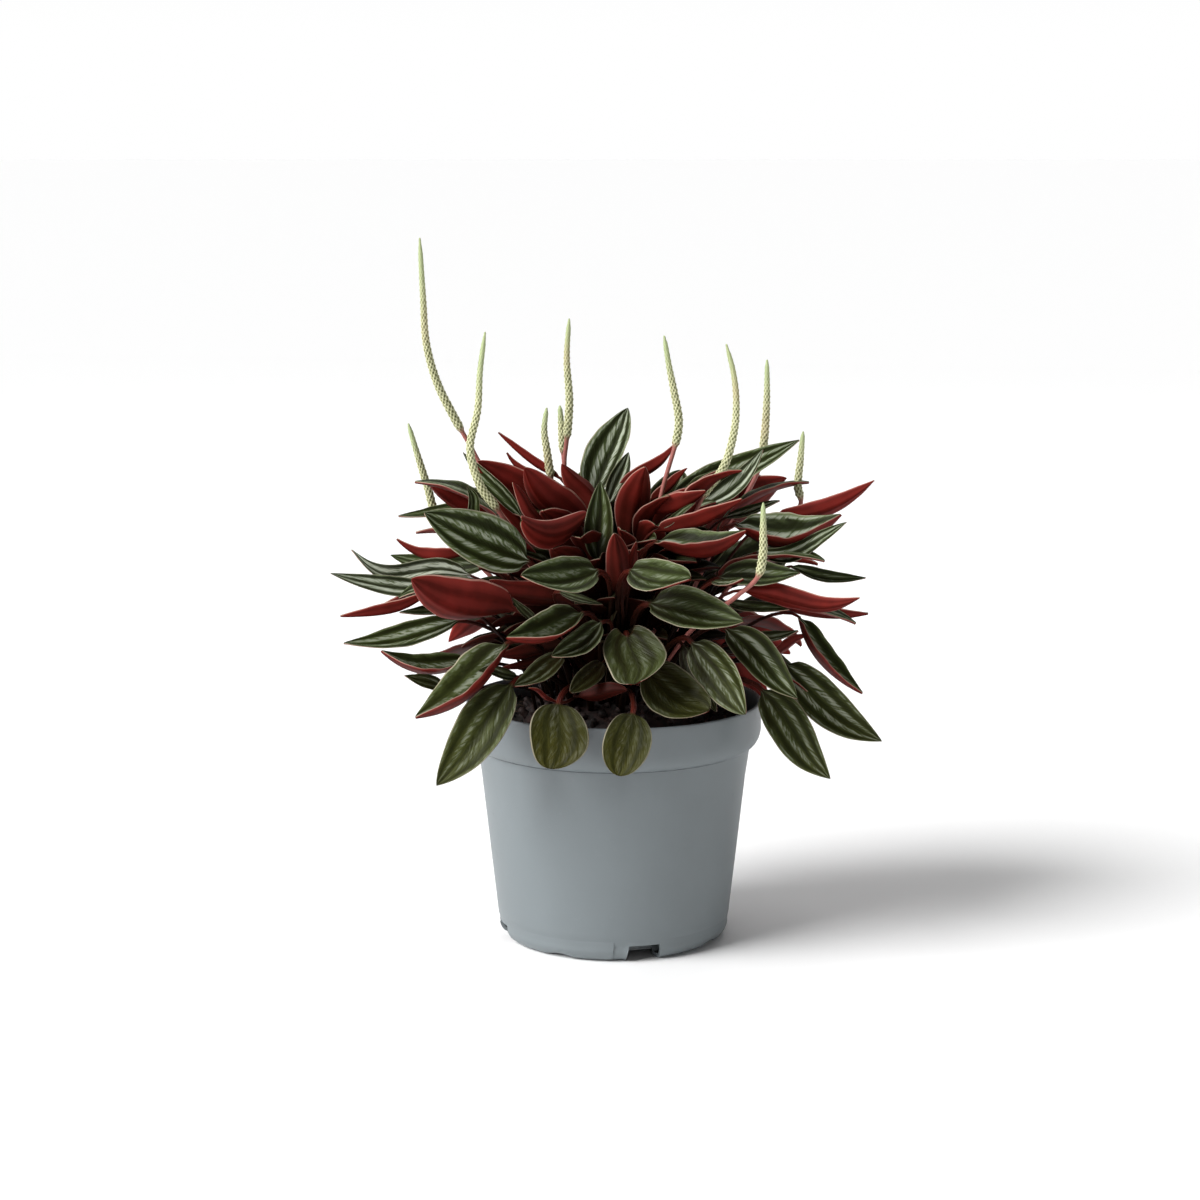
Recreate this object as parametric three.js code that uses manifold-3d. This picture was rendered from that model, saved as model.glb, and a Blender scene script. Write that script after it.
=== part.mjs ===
// Ripple peperomia in its nursery pot: a dome of narrow ribbed leaves on red stalks, with upright flower
// spikes, growing from a low crown in potting soil. Millimetres, +Z up. The origin is on the pot's axis, on
// the surface that the pot stands on, and -Y is the plant's front.

import * as THREE from 'three';
import { mergeVertices } from 'three/addons/utils/BufferGeometryUtils.js';
import Module from 'manifold-3d';

// Pot
const potHeight = 98;
const collarRadius = 60;
const collarCurveTop = 87; // the collar is upright above this height, and curves in below it
const collarFoot = 79.6;
const bodyTopRadius = 54.9;
const footRadius = 46.7;
const footRounding = 6;
const wall = 1.3;
const floorThickness = 1.8;
const potSegments = 64;

// Drain notches at the pot's foot: deep ones that open into the pot, and shallow arches between them
const notchCount = 4;
const firstNotchAngle = -75; // degrees from +X
const notchWidth = 12;
const notchHeight = 7;
const notchInnerRadius = 37;
const archWidth = 13;
const archHeight = 1.1;
const archInnerRadius = 40;

// Soil and crown
const soilTop = 90;
const soilFlatRadius = 50;
const soilEdgeTop = 88.5;
const crownRadius = 37;
const crownHeight = 14;
const crownStations = [0.97, 0.88, 0.74, 0.56, 0.38, 0.2, 0]; // parts of its radius, from the edge to the top
const gap = 0.3; // between pieces that rest on each other

// Leaves
const leafThickness = 1.2;
const stalkRadius = 1.2;
const leafRootReach = 0.42; // a leaf's root is this part of its blade base's distance from the axis
const stalkClimb = 0.36; // how long the stalk rises straight from its root, as a part of its length
const stalkArrival = 0.2; // how long it runs in line with the blade
const stalkSag = 0.04; // how far it hangs below that line
const stalkStations = [0, 0.25, 0.5, 0.75];
const bladeStations = [0.02, 0.13, 0.35, 0.6, 0.83, 0.99];
const acrossStations = [-1, -0.5, 0, 0.5, 1];

// Spikes
const spikeRootReach = 0.27;
const spikeStalkRadius = 1.15;
const spikeTipRadius = 0.7;
const spikeRise = 6; // how far the middle of a spike's stalk is above the straight line
const spikeSides = 6;

const potColor = 0x8b959c;
const soilColor = 0x2a1f18;
const crownColor = 0x5b3527;
const leafColor = 0x3f5b41;
const spikeColor = 0xb3b981;

// One row a leaf: blade base, blade tip, blade width, roll, bow, cup, roundness.
// Roll turns the blade about its own length, in degrees. Bow is the height of the midrib's arch.
// Cup is how far the edges rise above the midrib, as a part of the width.
// Roundness runs from a narrow pointed blade, 0, to a round one, 1.
const leafRows = [
  // upright, round the middle
  [[-6, 14, 181], [6, 38, 213], 21, 0, 3, 0.05, 0.1],
  [[-6, -30, 158.5], [-5.5, -28, 190.5], 12, 0, 2, 0.25, 0],
  [[6, -12, 163.5], [12, -28, 196], 16, 0, 3, 0.05, 0.2],
  [[5, -38, 143], [3, -50, 173], 13, 0, 3, 0.05, 0.5],
  [[1.5, 7, 182], [25, 12, 201], 9, -50, 3, 0.05, 0],
  [[14.5, -22, 177.5], [35.5, -34, 187.5], 11, -60, 4, 0.05, 0],
  [[-10.5, -16, 170.5], [-35, -33, 196.5], 20, 55, 4, 0.05, 0.2],
  [[-15, -5, 173.5], [-54, -16, 197], 21, 60, 5, 0.05, 0.2],
  [[-30.5, -15, 162], [-54.5, -24, 196.5], 8, 40, 2, 0.05, 0],
  [[-14, -30, 178], [-35, -60, 180.5], 12, 70, 4, 0.05, 0.3],
  // towards -X, from high to low
  [[-33.5, -38, 160], [-73, -54, 181.5], 22, -60, 4, 0.08, 0.15],
  [[-50, 0, 174.5], [-75, -4, 187.5], 10, 65, 4, 0.05, 0],
  [[-57.5, -10, 150], [-104.5, -16, 161.5], 10, -50, -4, 0.05, 0],
  [[-74, -36, 146.5], [-106.5, -46, 140], 7, 50, 3, 0.05, 0],
  [[-38.5, -44, 142.5], [-77.5, -64, 157.5], 20, 65, 3, 0.05, 0.3],
  [[-7, -51, 158], [-36, -72, 160], 14, -45, 4, 0.08, 0.2],
  [[-62, -21, 133.5], [-106.5, -34, 127], 13, -55, 4, 0.05, 0],
  [[-41.5, -50, 130], [-76.5, -66, 104], 18, -35, 4, 0.05, 0.1],
  [[-39.5, -58, 115.5], [-68, -76, 79.5], 20, -40, 5, 0.06, 0.1],
  [[-12, -54, 142.5], [-41, -76, 137], 13, -40, 4, 0.06, 0.1],
  // towards +X, from high to low
  [[23, 9, 179], [76, 22, 201], 11, 50, 7, 0.05, 0],
  [[33.5, -7, 177.5], [60, 2, 199.5], 10, 55, 4, 0.05, 0],
  [[16, -38, 168], [50.5, -52, 174.5], 12, -65, -4, 0.1, 0.1],
  [[48, -14, 171.5], [89.5, -22, 176.5], 11, 50, -3, 0.05, 0],
  [[65, 4, 172.5], [104.5, -2, 187.5], 10, -60, 3, 0.05, 0],
  [[41.5, -30, 152.5], [72, -44, 156.5], 13, 60, 4, 0.05, 0],
  [[50, -36, 148.5], [94.5, -54, 148.5], 12, -60, -2, 0.05, 0.1],
  [[5, -54, 159], [28, -75, 160], 14, 50, 4, 0.15, 0.4],
  [[13.5, -49, 145], [49, -70, 142], 16, 45, 4, 0.06, 0.1],
  // low, over the rim
  [[1, -60, 134], [7, -76, 119], 23, 0, 3, 0.05, 1],
  [[7, -68, 106], [1.5, -77, 83.5], 20, 30, 2, 0.05, 1],
  [[-21.5, -64, 109], [-24.5, -74, 85.5], 23, 15, 2, 0.05, 1],
  [[12, -55, 120.5], [36, -68, 107], 21, 40, 3, 0.05, 0.6],
  [[30, -52, 130.5], [50, -70, 106], 18, 40, 4, 0.05, 0.35],
  [[43.5, -43, 134], [70.5, -60, 110], 18, 45, 5, 0.05, 0.1],
  [[58.5, -28, 107], [85, -44, 74.5], 18, 45, 4, 0.05, 0.1],
  [[68, -17, 115.5], [106.5, -30, 86.5], 17, 50, 5, 0.05, 0.1],
];

// These leaves, counted from 1, come again at the back, turned half way round the pot
const backLeaves = [11, 15, 17, 18, 19, 27, 30, 34, 35];

// One row a flower spike: points from where it leaves the leaves up to its tip
const spikeRows = [
  [[-56, 5, 197], [-64, 3, 212], [-70.5, 0, 226], [-74.5, -4, 242], [-75.5, -7, 261], [-76.5, -8, 284]],
  [[-45, -33, 179], [-52, -35, 189], [-56, -36, 204], [-53, -35, 219], [-52, -34, 234], [-50, -33, 249]],
  [[-20, 14, 190], [-19, 13, 203], [-18, 12, 218], [-19, 12, 235], [-18, 12, 251]],
  [[-25, 4, 186], [-27, 3, 199], [-28, 3, 207], [-27, 3, 216]],
  [[-20, 22, 189], [-21, 22, 201], [-22, 23, 215]],
  [[20, 1, 185], [25, 1, 203], [26, 1, 211], [24, 1, 223], [22, 1, 233], [20, 1, 245]],
  [[35, -24, 184], [43, -22, 195], [47, -20, 208], [48, -19, 219], [47, -18, 231], [44, -17, 243]],
  [[60, 30, 188], [62, 30, 200], [63, 31, 217], [63, 32, 233]],
  [[-71, 14, 168], [-76, 12, 184], [-80, 10, 198], [-83, 9, 209]],
  [[47, -49, 148], [55, -52, 156], [57, -53, 165], [57, -53, 175], [57, -52, 185]],
  [[76, 14, 175], [75, 14, 183], [76, 15, 194], [77, 16, 205]],
];

const wasm = await Module();
wasm.setup();

const up = new THREE.Vector3(0, 0, 1);
const plantGroup = new THREE.Group();

function addPiece(name, geometry, color, roughness) {
  geometry.computeVertexNormals();
  const piece = new THREE.Mesh(geometry, new THREE.MeshStandardMaterial({ color, roughness, metalness: 0 }));
  piece.name = name;
  plantGroup.add(piece);
}

// A profile turned about the Z axis. Its points run from the axis round the outside and back to the axis.
function turned(profile, segments) {
  const points = profile.map(([radius, height]) => new THREE.Vector2(radius, height));
  const geometry = new THREE.LatheGeometry(points, segments);
  geometry.rotateX(Math.PI / 2);
  return geometry;
}

// Points of a quarter circle in a profile, about a centre, from one angle to another in degrees
function arc(centreRadius, centreHeight, radius, from, to, steps) {
  return Array.from({ length: steps + 1 }, (_, step) => {
    const angle = THREE.MathUtils.degToRad(from + ((to - from) * step) / steps);
    return [centreRadius + radius * Math.cos(angle), centreHeight + radius * Math.sin(angle)];
  });
}

function toSolid(geometry) {
  const bare = geometry.clone();
  bare.deleteAttribute('normal');
  bare.deleteAttribute('uv');
  const merged = mergeVertices(bare, 1e-4);
  const vertProperties = Float32Array.from(merged.attributes.position.array);
  const triVerts = Uint32Array.from(merged.index.array);
  return new wasm.Manifold(new wasm.Mesh({ numProp: 3, vertProperties, triVerts }));
}

function toGeometry(solid) {
  const { vertProperties, triVerts } = solid.getMesh();
  const geometry = new THREE.BufferGeometry();
  geometry.setAttribute('position', new THREE.BufferAttribute(vertProperties, 3));
  geometry.setIndex(new THREE.BufferAttribute(triVerts, 1));
  return geometry;
}

// The radius of the pot's straight wall at a height
function bodyRadius(height) {
  const rise = (height - footRounding) / (collarFoot - footRounding);
  return footRadius + (bodyTopRadius - footRadius) * rise;
}

// A block that cuts through the pot's foot from an inner radius outwards
function footCutter(angle, width, height, innerRadius) {
  const length = collarRadius - innerRadius;
  const block = new THREE.BoxGeometry(length, width, 2 * height);
  block.translate(innerRadius + length / 2, 0, 0);
  block.rotateZ(THREE.MathUtils.degToRad(angle));
  return toSolid(block);
}

function makePot() {
  const curve = collarRadius - bodyTopRadius;
  const curveHeight = collarCurveTop - collarFoot;
  const bend = [15, 35, 60].map((degrees) => {
    const angle = THREE.MathUtils.degToRad(degrees);
    return [curve * Math.sin(angle), curveHeight * (1 - Math.cos(angle))];
  });
  const insideBend = bend.map(([out, rise]) => [bodyTopRadius - wall + out, collarFoot + rise + wall]);
  const profile = [
    [0, 0],
    ...arc(footRadius - footRounding, footRounding, footRounding, -90, 0, 4),
    [bodyTopRadius, collarFoot],
    ...bend.map(([out, rise]) => [bodyTopRadius + out, collarFoot + rise]),
    [collarRadius, collarCurveTop],
    ...arc(collarRadius - wall / 2, potHeight - wall / 2, wall / 2, 0, 180, 4),
    [collarRadius - wall, collarCurveTop],
    ...insideBend.reverse(),
    [bodyTopRadius - wall, collarFoot],
    ...arc(footRadius - footRounding, footRounding, footRounding - wall, 0, -75, 3),
    [footRadius - footRounding, floorThickness],
    [0, floorThickness],
  ];
  let pot = toSolid(turned(profile, potSegments));
  for (let index = 0; index < notchCount; index += 1) {
    const angle = firstNotchAngle + (index * 360) / notchCount;
    pot = pot.subtract(footCutter(angle, notchWidth, notchHeight, notchInnerRadius));
    pot = pot.subtract(footCutter(angle - 180 / notchCount, archWidth, archHeight, archInnerRadius));
  }
  addPiece('nursery_pot', toGeometry(pot), potColor, 0.45);
}

function makeSoil() {
  const inset = wall + gap;
  const profile = [
    [0, floorThickness + gap],
    [footRadius - footRounding, floorThickness + gap],
    [footRadius - inset - gap, footRounding + gap],
    [bodyRadius(collarFoot) - inset, collarFoot],
    [collarRadius - inset - gap, collarCurveTop],
    [collarRadius - inset - gap, soilEdgeTop],
    [soilFlatRadius, soilTop],
    [0, soilTop],
  ];
  addPiece('potting_soil', turned(profile, potSegments), soilColor, 1);
}

// The height of the crown's dome at a distance from the axis
function crownTop(radius) {
  return soilTop + crownHeight * Math.sqrt(Math.max(0, 1 - (radius / crownRadius) ** 2));
}

function makeCrown() {
  const dome = crownStations.map((part) => [part * crownRadius, crownTop(part * crownRadius)]);
  const profile = [[0, soilTop + gap], [crownRadius, soilTop + gap], ...dome];
  addPiece('crown', turned(profile, potSegments / 2), crownColor, 0.8);
}

// Where a stalk stands on the crown, at a part of the distance that its upper end has from the axis
function rootPoint(point, reach, radius) {
  const root = new THREE.Vector3(point.x * reach, point.y * reach, 0);
  root.z = crownTop(Math.max(0, Math.hypot(root.x, root.y) - radius)) + gap;
  return root;
}

// One closed body through rings of points, each ring with the same number of points, with flat ends
function loft(rings) {
  const around = rings[0].length;
  const geometry = new THREE.BufferGeometry().setFromPoints(rings.flat());
  const faces = [];
  for (let ring = 0; ring < rings.length - 1; ring += 1) {
    for (let side = 0; side < around; side += 1) {
      const next = (side + 1) % around;
      const near = ring * around;
      const far = near + around;
      faces.push(near + side, far + next, far + side, near + side, near + next, far + next);
    }
  }
  const last = (rings.length - 1) * around;
  for (let side = 1; side < around - 1; side += 1) {
    faces.push(0, side + 1, side, last, last + side, last + side + 1);
  }
  geometry.setIndex(faces);
  return geometry;
}

// A blade's half width at a place along it, 1 at its widest
function outline(along, roundness) {
  const baseCurve = 0.56 - 0.14 * roundness;
  const tipCurve = 0.98 - 0.42 * roundness;
  const widest = baseCurve / (baseCurve + tipCurve);
  const shape = (place) => place ** baseCurve * (1 - place) ** tipCurve;
  return shape(along) / shape(widest);
}

// A leaf: a thin blade along an arched midrib, with a round stalk that bends down to the crown
function makeLeaf(name, [baseXyz, tipXyz, width, roll, bow, cup, roundness]) {
  const base = new THREE.Vector3(...baseXyz);
  const tip = new THREE.Vector3(...tipXyz);
  const length = base.distanceTo(tip);
  const along = tip.clone().sub(base).normalize();
  const upperFace = up.clone().addScaledVector(along, -along.z).normalize();
  upperFace.applyAxisAngle(along, THREE.MathUtils.degToRad(roll));
  const across = along.clone().cross(upperFace);

  const blade = bladeStations.map((place) => {
    const arch = 4 * place * (1 - place);
    const slope = (bow * 4 * (1 - 2 * place)) / length;
    const normal = upperFace.clone().addScaledVector(along, -slope).normalize();
    const middle = base.clone().addScaledVector(along, place * length).addScaledVector(upperFace, bow * arch);
    const spread = outline(place, roundness);
    const edge = (side, face) => {
      const outwards = (spread * width * side) / 2;
      const rise = cup * width * spread * side * side + (face * leafThickness * (1 - side * side)) / 2;
      return middle.clone().addScaledVector(across, outwards).addScaledVector(normal, rise);
    };
    const upper = acrossStations.map((side) => edge(side, 1));
    const lower = acrossStations.slice(1, -1).reverse().map((side) => edge(side, -1));
    return [...upper, ...lower];
  });

  const root = rootPoint(base, leafRootReach, stalkRadius);
  const stalkLength = root.distanceTo(base);
  const climb = root.clone().lerp(base, 0.1).addScaledVector(up, stalkClimb * stalkLength);
  const arrive = base.clone().addScaledVector(along, -stalkArrival * stalkLength);
  arrive.addScaledVector(upperFace, -stalkSag * stalkLength);
  const stalk = new THREE.CubicBezierCurve3(root, climb, arrive, base);
  const side = across.clone();
  const stalkRings = [...stalkStations].reverse().map((place) => {
    const direction = stalk.getTangent(place);
    side.addScaledVector(direction, -side.dot(direction)).normalize();
    return ringAt(stalk.getPoint(place), side, side.clone().cross(direction), stalkRadius, blade[0].length);
  });
  addPiece(name, loft([...stalkRings.reverse(), ...blade]), leafColor, 0.4);
}

// A round ring of points about a centre. It starts opposite the side direction and turns over the top.
function ringAt(centre, side, top, radius, count) {
  return Array.from({ length: count }, (_, index) => {
    const angle = Math.PI - (index * 2 * Math.PI) / count;
    const outwards = side.clone().multiplyScalar(Math.cos(angle)).addScaledVector(top, Math.sin(angle));
    return centre.clone().addScaledVector(outwards, radius);
  });
}

// The same leaf half way round the pot
function turnedRow([[baseX, baseY, baseZ], [tipX, tipY, tipZ], ...rest]) {
  return [[-baseX, -baseY, baseZ], [-tipX, -tipY, tipZ], ...rest];
}

// A flower spike: one tapering tube from the crown through its points
function makeSpike(name, row) {
  const points = row.map((point) => new THREE.Vector3(...point));
  const root = rootPoint(points[0], spikeRootReach, 1.5 * spikeStalkRadius);
  const middle = root.clone().lerp(points[0], 0.5).addScaledVector(up, spikeRise);
  const curve = new THREE.CatmullRomCurve3([root, middle, ...points]);
  const steps = points.length * 2 + 3;
  const rings = Array.from({ length: steps + 1 }, (_, step) => {
    const place = step / steps;
    const direction = curve.getTangentAt(place);
    const side = direction.clone().cross(new THREE.Vector3(0, 1, 0)).normalize();
    const radius = THREE.MathUtils.lerp(spikeStalkRadius, spikeTipRadius, place);
    return ringAt(curve.getPointAt(place), side, side.clone().cross(direction), radius, spikeSides);
  });
  addPiece(name, loft(rings), spikeColor, 0.6);
}

makePot();
makeSoil();
makeCrown();
const allLeaves = [...leafRows, ...backLeaves.map((number) => turnedRow(leafRows[number - 1]))];
allLeaves.forEach((row, index) => makeLeaf(`leaf_${String(index + 1).padStart(2, '0')}`, row));
spikeRows.forEach((row, index) => makeSpike(`flower_spike_${String(index + 1).padStart(2, '0')}`, row));

export default plantGroup;
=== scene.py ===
# Ripple peperomia in a nursery pot: ribbed leaves, dark green above and wine red below, on red stalks, with
# beaded flower spikes. Tables are in millimetres, and every mesh is made in metres.
import math

import bpy
import numpy as np
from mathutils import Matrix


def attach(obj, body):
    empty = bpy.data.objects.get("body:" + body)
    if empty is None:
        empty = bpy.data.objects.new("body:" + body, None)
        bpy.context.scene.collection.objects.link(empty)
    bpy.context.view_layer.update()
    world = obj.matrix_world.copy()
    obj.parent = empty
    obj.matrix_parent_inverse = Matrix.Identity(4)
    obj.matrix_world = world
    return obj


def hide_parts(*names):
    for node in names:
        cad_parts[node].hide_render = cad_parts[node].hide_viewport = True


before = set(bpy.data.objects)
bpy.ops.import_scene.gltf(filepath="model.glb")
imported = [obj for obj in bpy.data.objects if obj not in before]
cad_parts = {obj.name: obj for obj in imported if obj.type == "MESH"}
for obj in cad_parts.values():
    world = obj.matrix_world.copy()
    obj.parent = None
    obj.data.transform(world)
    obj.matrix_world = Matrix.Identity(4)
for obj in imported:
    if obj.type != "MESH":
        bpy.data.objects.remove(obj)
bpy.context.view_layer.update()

mm = 0.001
print("frame loaded:", len(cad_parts), "nodes")


# ---- mesh helpers

def smoothstep(low, high, x):
    # 0 below low, 1 above high, and a smooth rise between
    t = np.clip((x - low) / (high - low), 0, 1)
    return t * t * (3 - 2 * t)


def unit(vectors):
    return vectors / np.maximum(np.linalg.norm(vectors, axis=-1, keepdims=True), 1e-12)


def dot(first, second):
    return (first * second).sum(-1, keepdims=True)


def gridFaces(rows, columns):
    # the quads of a grid of points, row by row; the last column is joined to the first
    row = np.arange(rows - 1)[:, None] * columns
    column = np.arange(columns)[None]
    near, far = row + column, row + (column + 1) % columns
    return np.stack([near, far, far + columns, near + columns], -1).reshape(-1, 4)


def fanFaces(ring, pole, outwards):
    # triangles from a ring of points to one pole; outwards says which way round they go
    ahead = np.roll(ring, -1)
    middle = np.full_like(ring, pole)
    return np.stack([ring, ahead, middle] if outwards else [ahead, ring, middle], -1)


def endFans(rings, around, flip=False):
    # the triangles that close both ends of a tube of rings, whose two poles come after its points;
    # flip turns them over
    ring = np.arange(around)
    size = rings * around
    return [fanFaces(ring, size, flip), fanFaces(ring + size - around, size + 1, not flip)]


def copiedFaces(rings, around, count):
    # the quads and end triangles of many closed tubes, one after another
    shift = (rings * around + 2) * np.arange(count)[:, None, None]
    quads = gridFaces(rings, around)[:, ::-1]
    fans = np.concatenate(endFans(rings, around, flip=True))
    return [(quads[None] + shift).reshape(-1, 4), (fans[None] + shift).reshape(-1, 3)]


def polar(radius, angle, height):
    # points by their distance from the pot's axis, their direction and their height
    parts = np.broadcast_arrays(radius * np.cos(angle), radius * np.sin(angle), height)
    return np.stack(parts, -1)


def ringAngles(around):
    return np.linspace(0, 2 * math.pi, around, endpoint=False)


def spokes(side, top, angles):
    # round each place on a path, the directions that point away from it
    return side[..., None, :] * np.cos(angles)[:, None] + top[..., None, :] * np.sin(angles)[:, None]


def bezier(corners, u):
    # a cubic Bezier curve's points and headings at the shares u of the way
    a, b, c, d = corners
    points = (1 - u) ** 3 * a + 3 * u * (1 - u) ** 2 * b + 3 * u ** 2 * (1 - u) * c + u ** 3 * d
    headings = (1 - u) ** 2 * (b - a) + 2 * u * (1 - u) * (c - b) + u ** 2 * (d - c)
    return points, unit(headings)


def added(name, data):
    # a new object in the scene
    thing = bpy.data.objects.new(name, data)
    bpy.context.scene.collection.objects.link(thing)
    return thing


def addPiece(name, points, faceSets, material, nodes=(), fields=None, sharp=None):
    # one object in metres, from points in millimetres and arrays of triangles and quads; fields are point
    # attributes, and nodes are those of the part that it replaces
    mesh = bpy.data.meshes.new(name)
    points = np.ascontiguousarray(points, dtype=np.float32).reshape(-1, 3)
    counts = np.concatenate([np.full(len(faces), faces.shape[1]) for faces in faceSets])
    corners = np.concatenate([faces.reshape(-1) for faces in faceSets]).astype(np.int32)
    mesh.vertices.add(len(points))
    mesh.vertices.foreach_set("co", (points * mm).reshape(-1))
    mesh.loops.add(len(corners))
    mesh.loops.foreach_set("vertex_index", corners)
    mesh.polygons.add(len(counts))
    starts = np.concatenate([[0], np.cumsum(counts)[:-1]])
    mesh.polygons.foreach_set("loop_start", starts.astype(np.int32))
    mesh.polygons.foreach_set("use_smooth", np.ones(len(counts), dtype=bool))
    mesh.update(calc_edges=True)
    mesh.validate()
    if sharp:
        mesh.set_sharp_from_angle(angle=math.radians(sharp))
    for key, values in (fields or {}).items():
        field = mesh.attributes.new(key, "FLOAT_VECTOR", "POINT")
        field.data.foreach_set("vector", np.ascontiguousarray(values, dtype=np.float32).reshape(-1))
    piece = added(name, mesh)
    mesh.materials.append(material)
    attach(piece, "root")
    if nodes:
        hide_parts(*nodes)


def addMound(name, radii, around, heightAt, sides, middleTop, material, node):
    # a round body, flat underneath: rings on its top, with their heights from heightAt, and rings down its
    # sides, a radius and a height each
    angles = ringAngles(around)
    x, y = radii[:, None] * np.cos(angles), radii[:, None] * np.sin(angles)
    top = np.stack([x, y, heightAt(x, y)], -1)
    sideRings = np.array([polar(radius, angles, height) for radius, height in sides])
    rings = np.concatenate([top, sideRings])[::-1]
    points = np.concatenate([rings.reshape(-1, 3), [[0, 0, sides[-1][1]], [0, 0, middleTop]]])
    faces = [gridFaces(len(rings), around), *endFans(len(rings), around)]
    addPiece(name, points, faces, material, [node])


def waves(x, y, z, seed, octaves=3, scale=1.0):
    # smooth made-up noise: sums of sines of slanted directions, each octave finer and weaker
    draw = np.random.default_rng(seed)
    total = np.zeros(np.broadcast(x, y, z).shape)
    for octave in range(octaves):
        for _ in range(4):
            direction = unit(draw.normal(size=3)) * scale * 1.9 ** octave
            phase = draw.uniform(0, 2 * math.pi)
            slant = direction[0] * x + direction[1] * y + direction[2] * z
            total += np.sin(slant + phase) / 4 / 1.6 ** octave
    return total


# ---- shader helpers

class Wire:
    # an output socket that arithmetic can be written on
    def __init__(self, paint, socket):
        self.paint, self.socket = paint, socket

    def __add__(self, other):
        return self.paint.maths("ADD", self, other)

    __radd__ = __add__

    def __mul__(self, other):
        return self.paint.maths("MULTIPLY", self, other)

    __rmul__ = __mul__

    def __sub__(self, other):
        return self.paint.maths("SUBTRACT", self, other)

    def __rsub__(self, other):
        return self.paint.maths("SUBTRACT", other, self)


class Paint:
    # a material's or the sky's nodes
    def __init__(self, owner):
        self.owner = owner
        owner.use_nodes = True
        self.tree = owner.node_tree
        self.tree.nodes.clear()

    def node(self, kind, settings=None, sockets=None, out=0):
        # adds a node: its settings first, then its sockets' values or links; returns one of its outputs
        made = self.tree.nodes.new("ShaderNode" + kind)
        for key, value in (settings or {}).items():
            setattr(made, key, value)
        for key, value in (sockets or {}).items():
            if isinstance(value, Wire):
                self.tree.links.new(value.socket, made.inputs[key])
            else:
                made.inputs[key].default_value = value
        return Wire(self, made.outputs[out]) if made.outputs else None

    def maths(self, operation, *values):
        return self.node("Math", {"operation": operation}, dict(enumerate(values)))

    def rise(self, value, low, high):
        # 0 at low and 1 at high, smooth between
        sockets = {"Value": value, "From Min": low, "From Max": high}
        return self.node("MapRange", {"interpolation_type": "SMOOTHSTEP"}, sockets)

    def mix(self, mask, first, second):
        # the first colour where the mask is 0, and the second where it is 1
        first, second = ((*c, 1) if isinstance(c, tuple) else c for c in (first, second))
        settings = {"data_type": "RGBA", "clamp_factor": True}
        return self.node("Mix", settings, {0: mask, 6: first, 7: second}, 2)

    def parts(self, key):
        # the three numbers of a point attribute
        vector = self.node("Attribute", {"attribute_name": key}, out=1)
        return [self.node("SeparateXYZ", sockets={0: vector}, out=k) for k in range(3)]

    def joined(self, x, y, z):
        return self.node("CombineXYZ", sockets={0: x, 1: y, 2: z})

    def place(self):
        return self.node("TexCoord", out=3)  # object coordinates

    def noise(self, vector, scale, detail=3, roughness=0.55):
        sockets = {"Vector": vector, "Scale": scale, "Detail": detail, "Roughness": roughness}
        return self.node("TexNoise", sockets=sockets)

    def surface(self, sockets, bumps=()):
        # the finished shader; bumps are heights with their strength and depth in metres, from coarse to fine
        normal = None
        for height, strength, depth in bumps:
            inputs = {"Height": height, "Strength": strength, "Distance": depth}
            if normal:
                inputs["Normal"] = normal
            normal = self.node("Bump", sockets=inputs)
        if normal:
            sockets = {**sockets, "Normal": normal}
        shader = self.node("BsdfPrincipled", sockets=sockets)
        self.node("OutputMaterial", sockets={"Surface": shader})
        return self.owner


def newPaint(name):
    return Paint(bpy.data.materials.new(name))


# ---- camera, lights and floor

view = {
    "cameraPlace": (-0.0056, -1.1, 0.326),  # metres, as all lengths of this section
    "cameraPitch": 9.68,  # degrees below level
    "lens": 82.665,  # millimetres, as the sensor
    "sensor": 36.0,
    "floorSize": 60.0,
    "floorColor": (0.97, 0.97, 0.97),
    "floorRoughness": 0.8,
    "skyLow": 1.0,  # brightness of the backdrop near the horizon
    "skyHigh": 0.15,  # and overhead
    "skyFade": (0.03, 0.3),  # where it starts and ends to dim, as the height of a direction of length 1
    "sunFrom": (-0.78, -0.42, 0.66),
    "sunSpread": 38.0,  # degrees
    "sunStrength": 4.6,
    "topPlace": (0.15, 0.9, 1.3),
    "topSize": 1.1,
    "topPower": 7.0,
}


def aim(thing, direction):
    # turns a light's -Z axis along a direction
    x, y, z = direction
    thing.rotation_euler = (math.atan2(math.hypot(x, y), -z), 0, math.atan2(y, x) - math.pi / 2)


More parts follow.
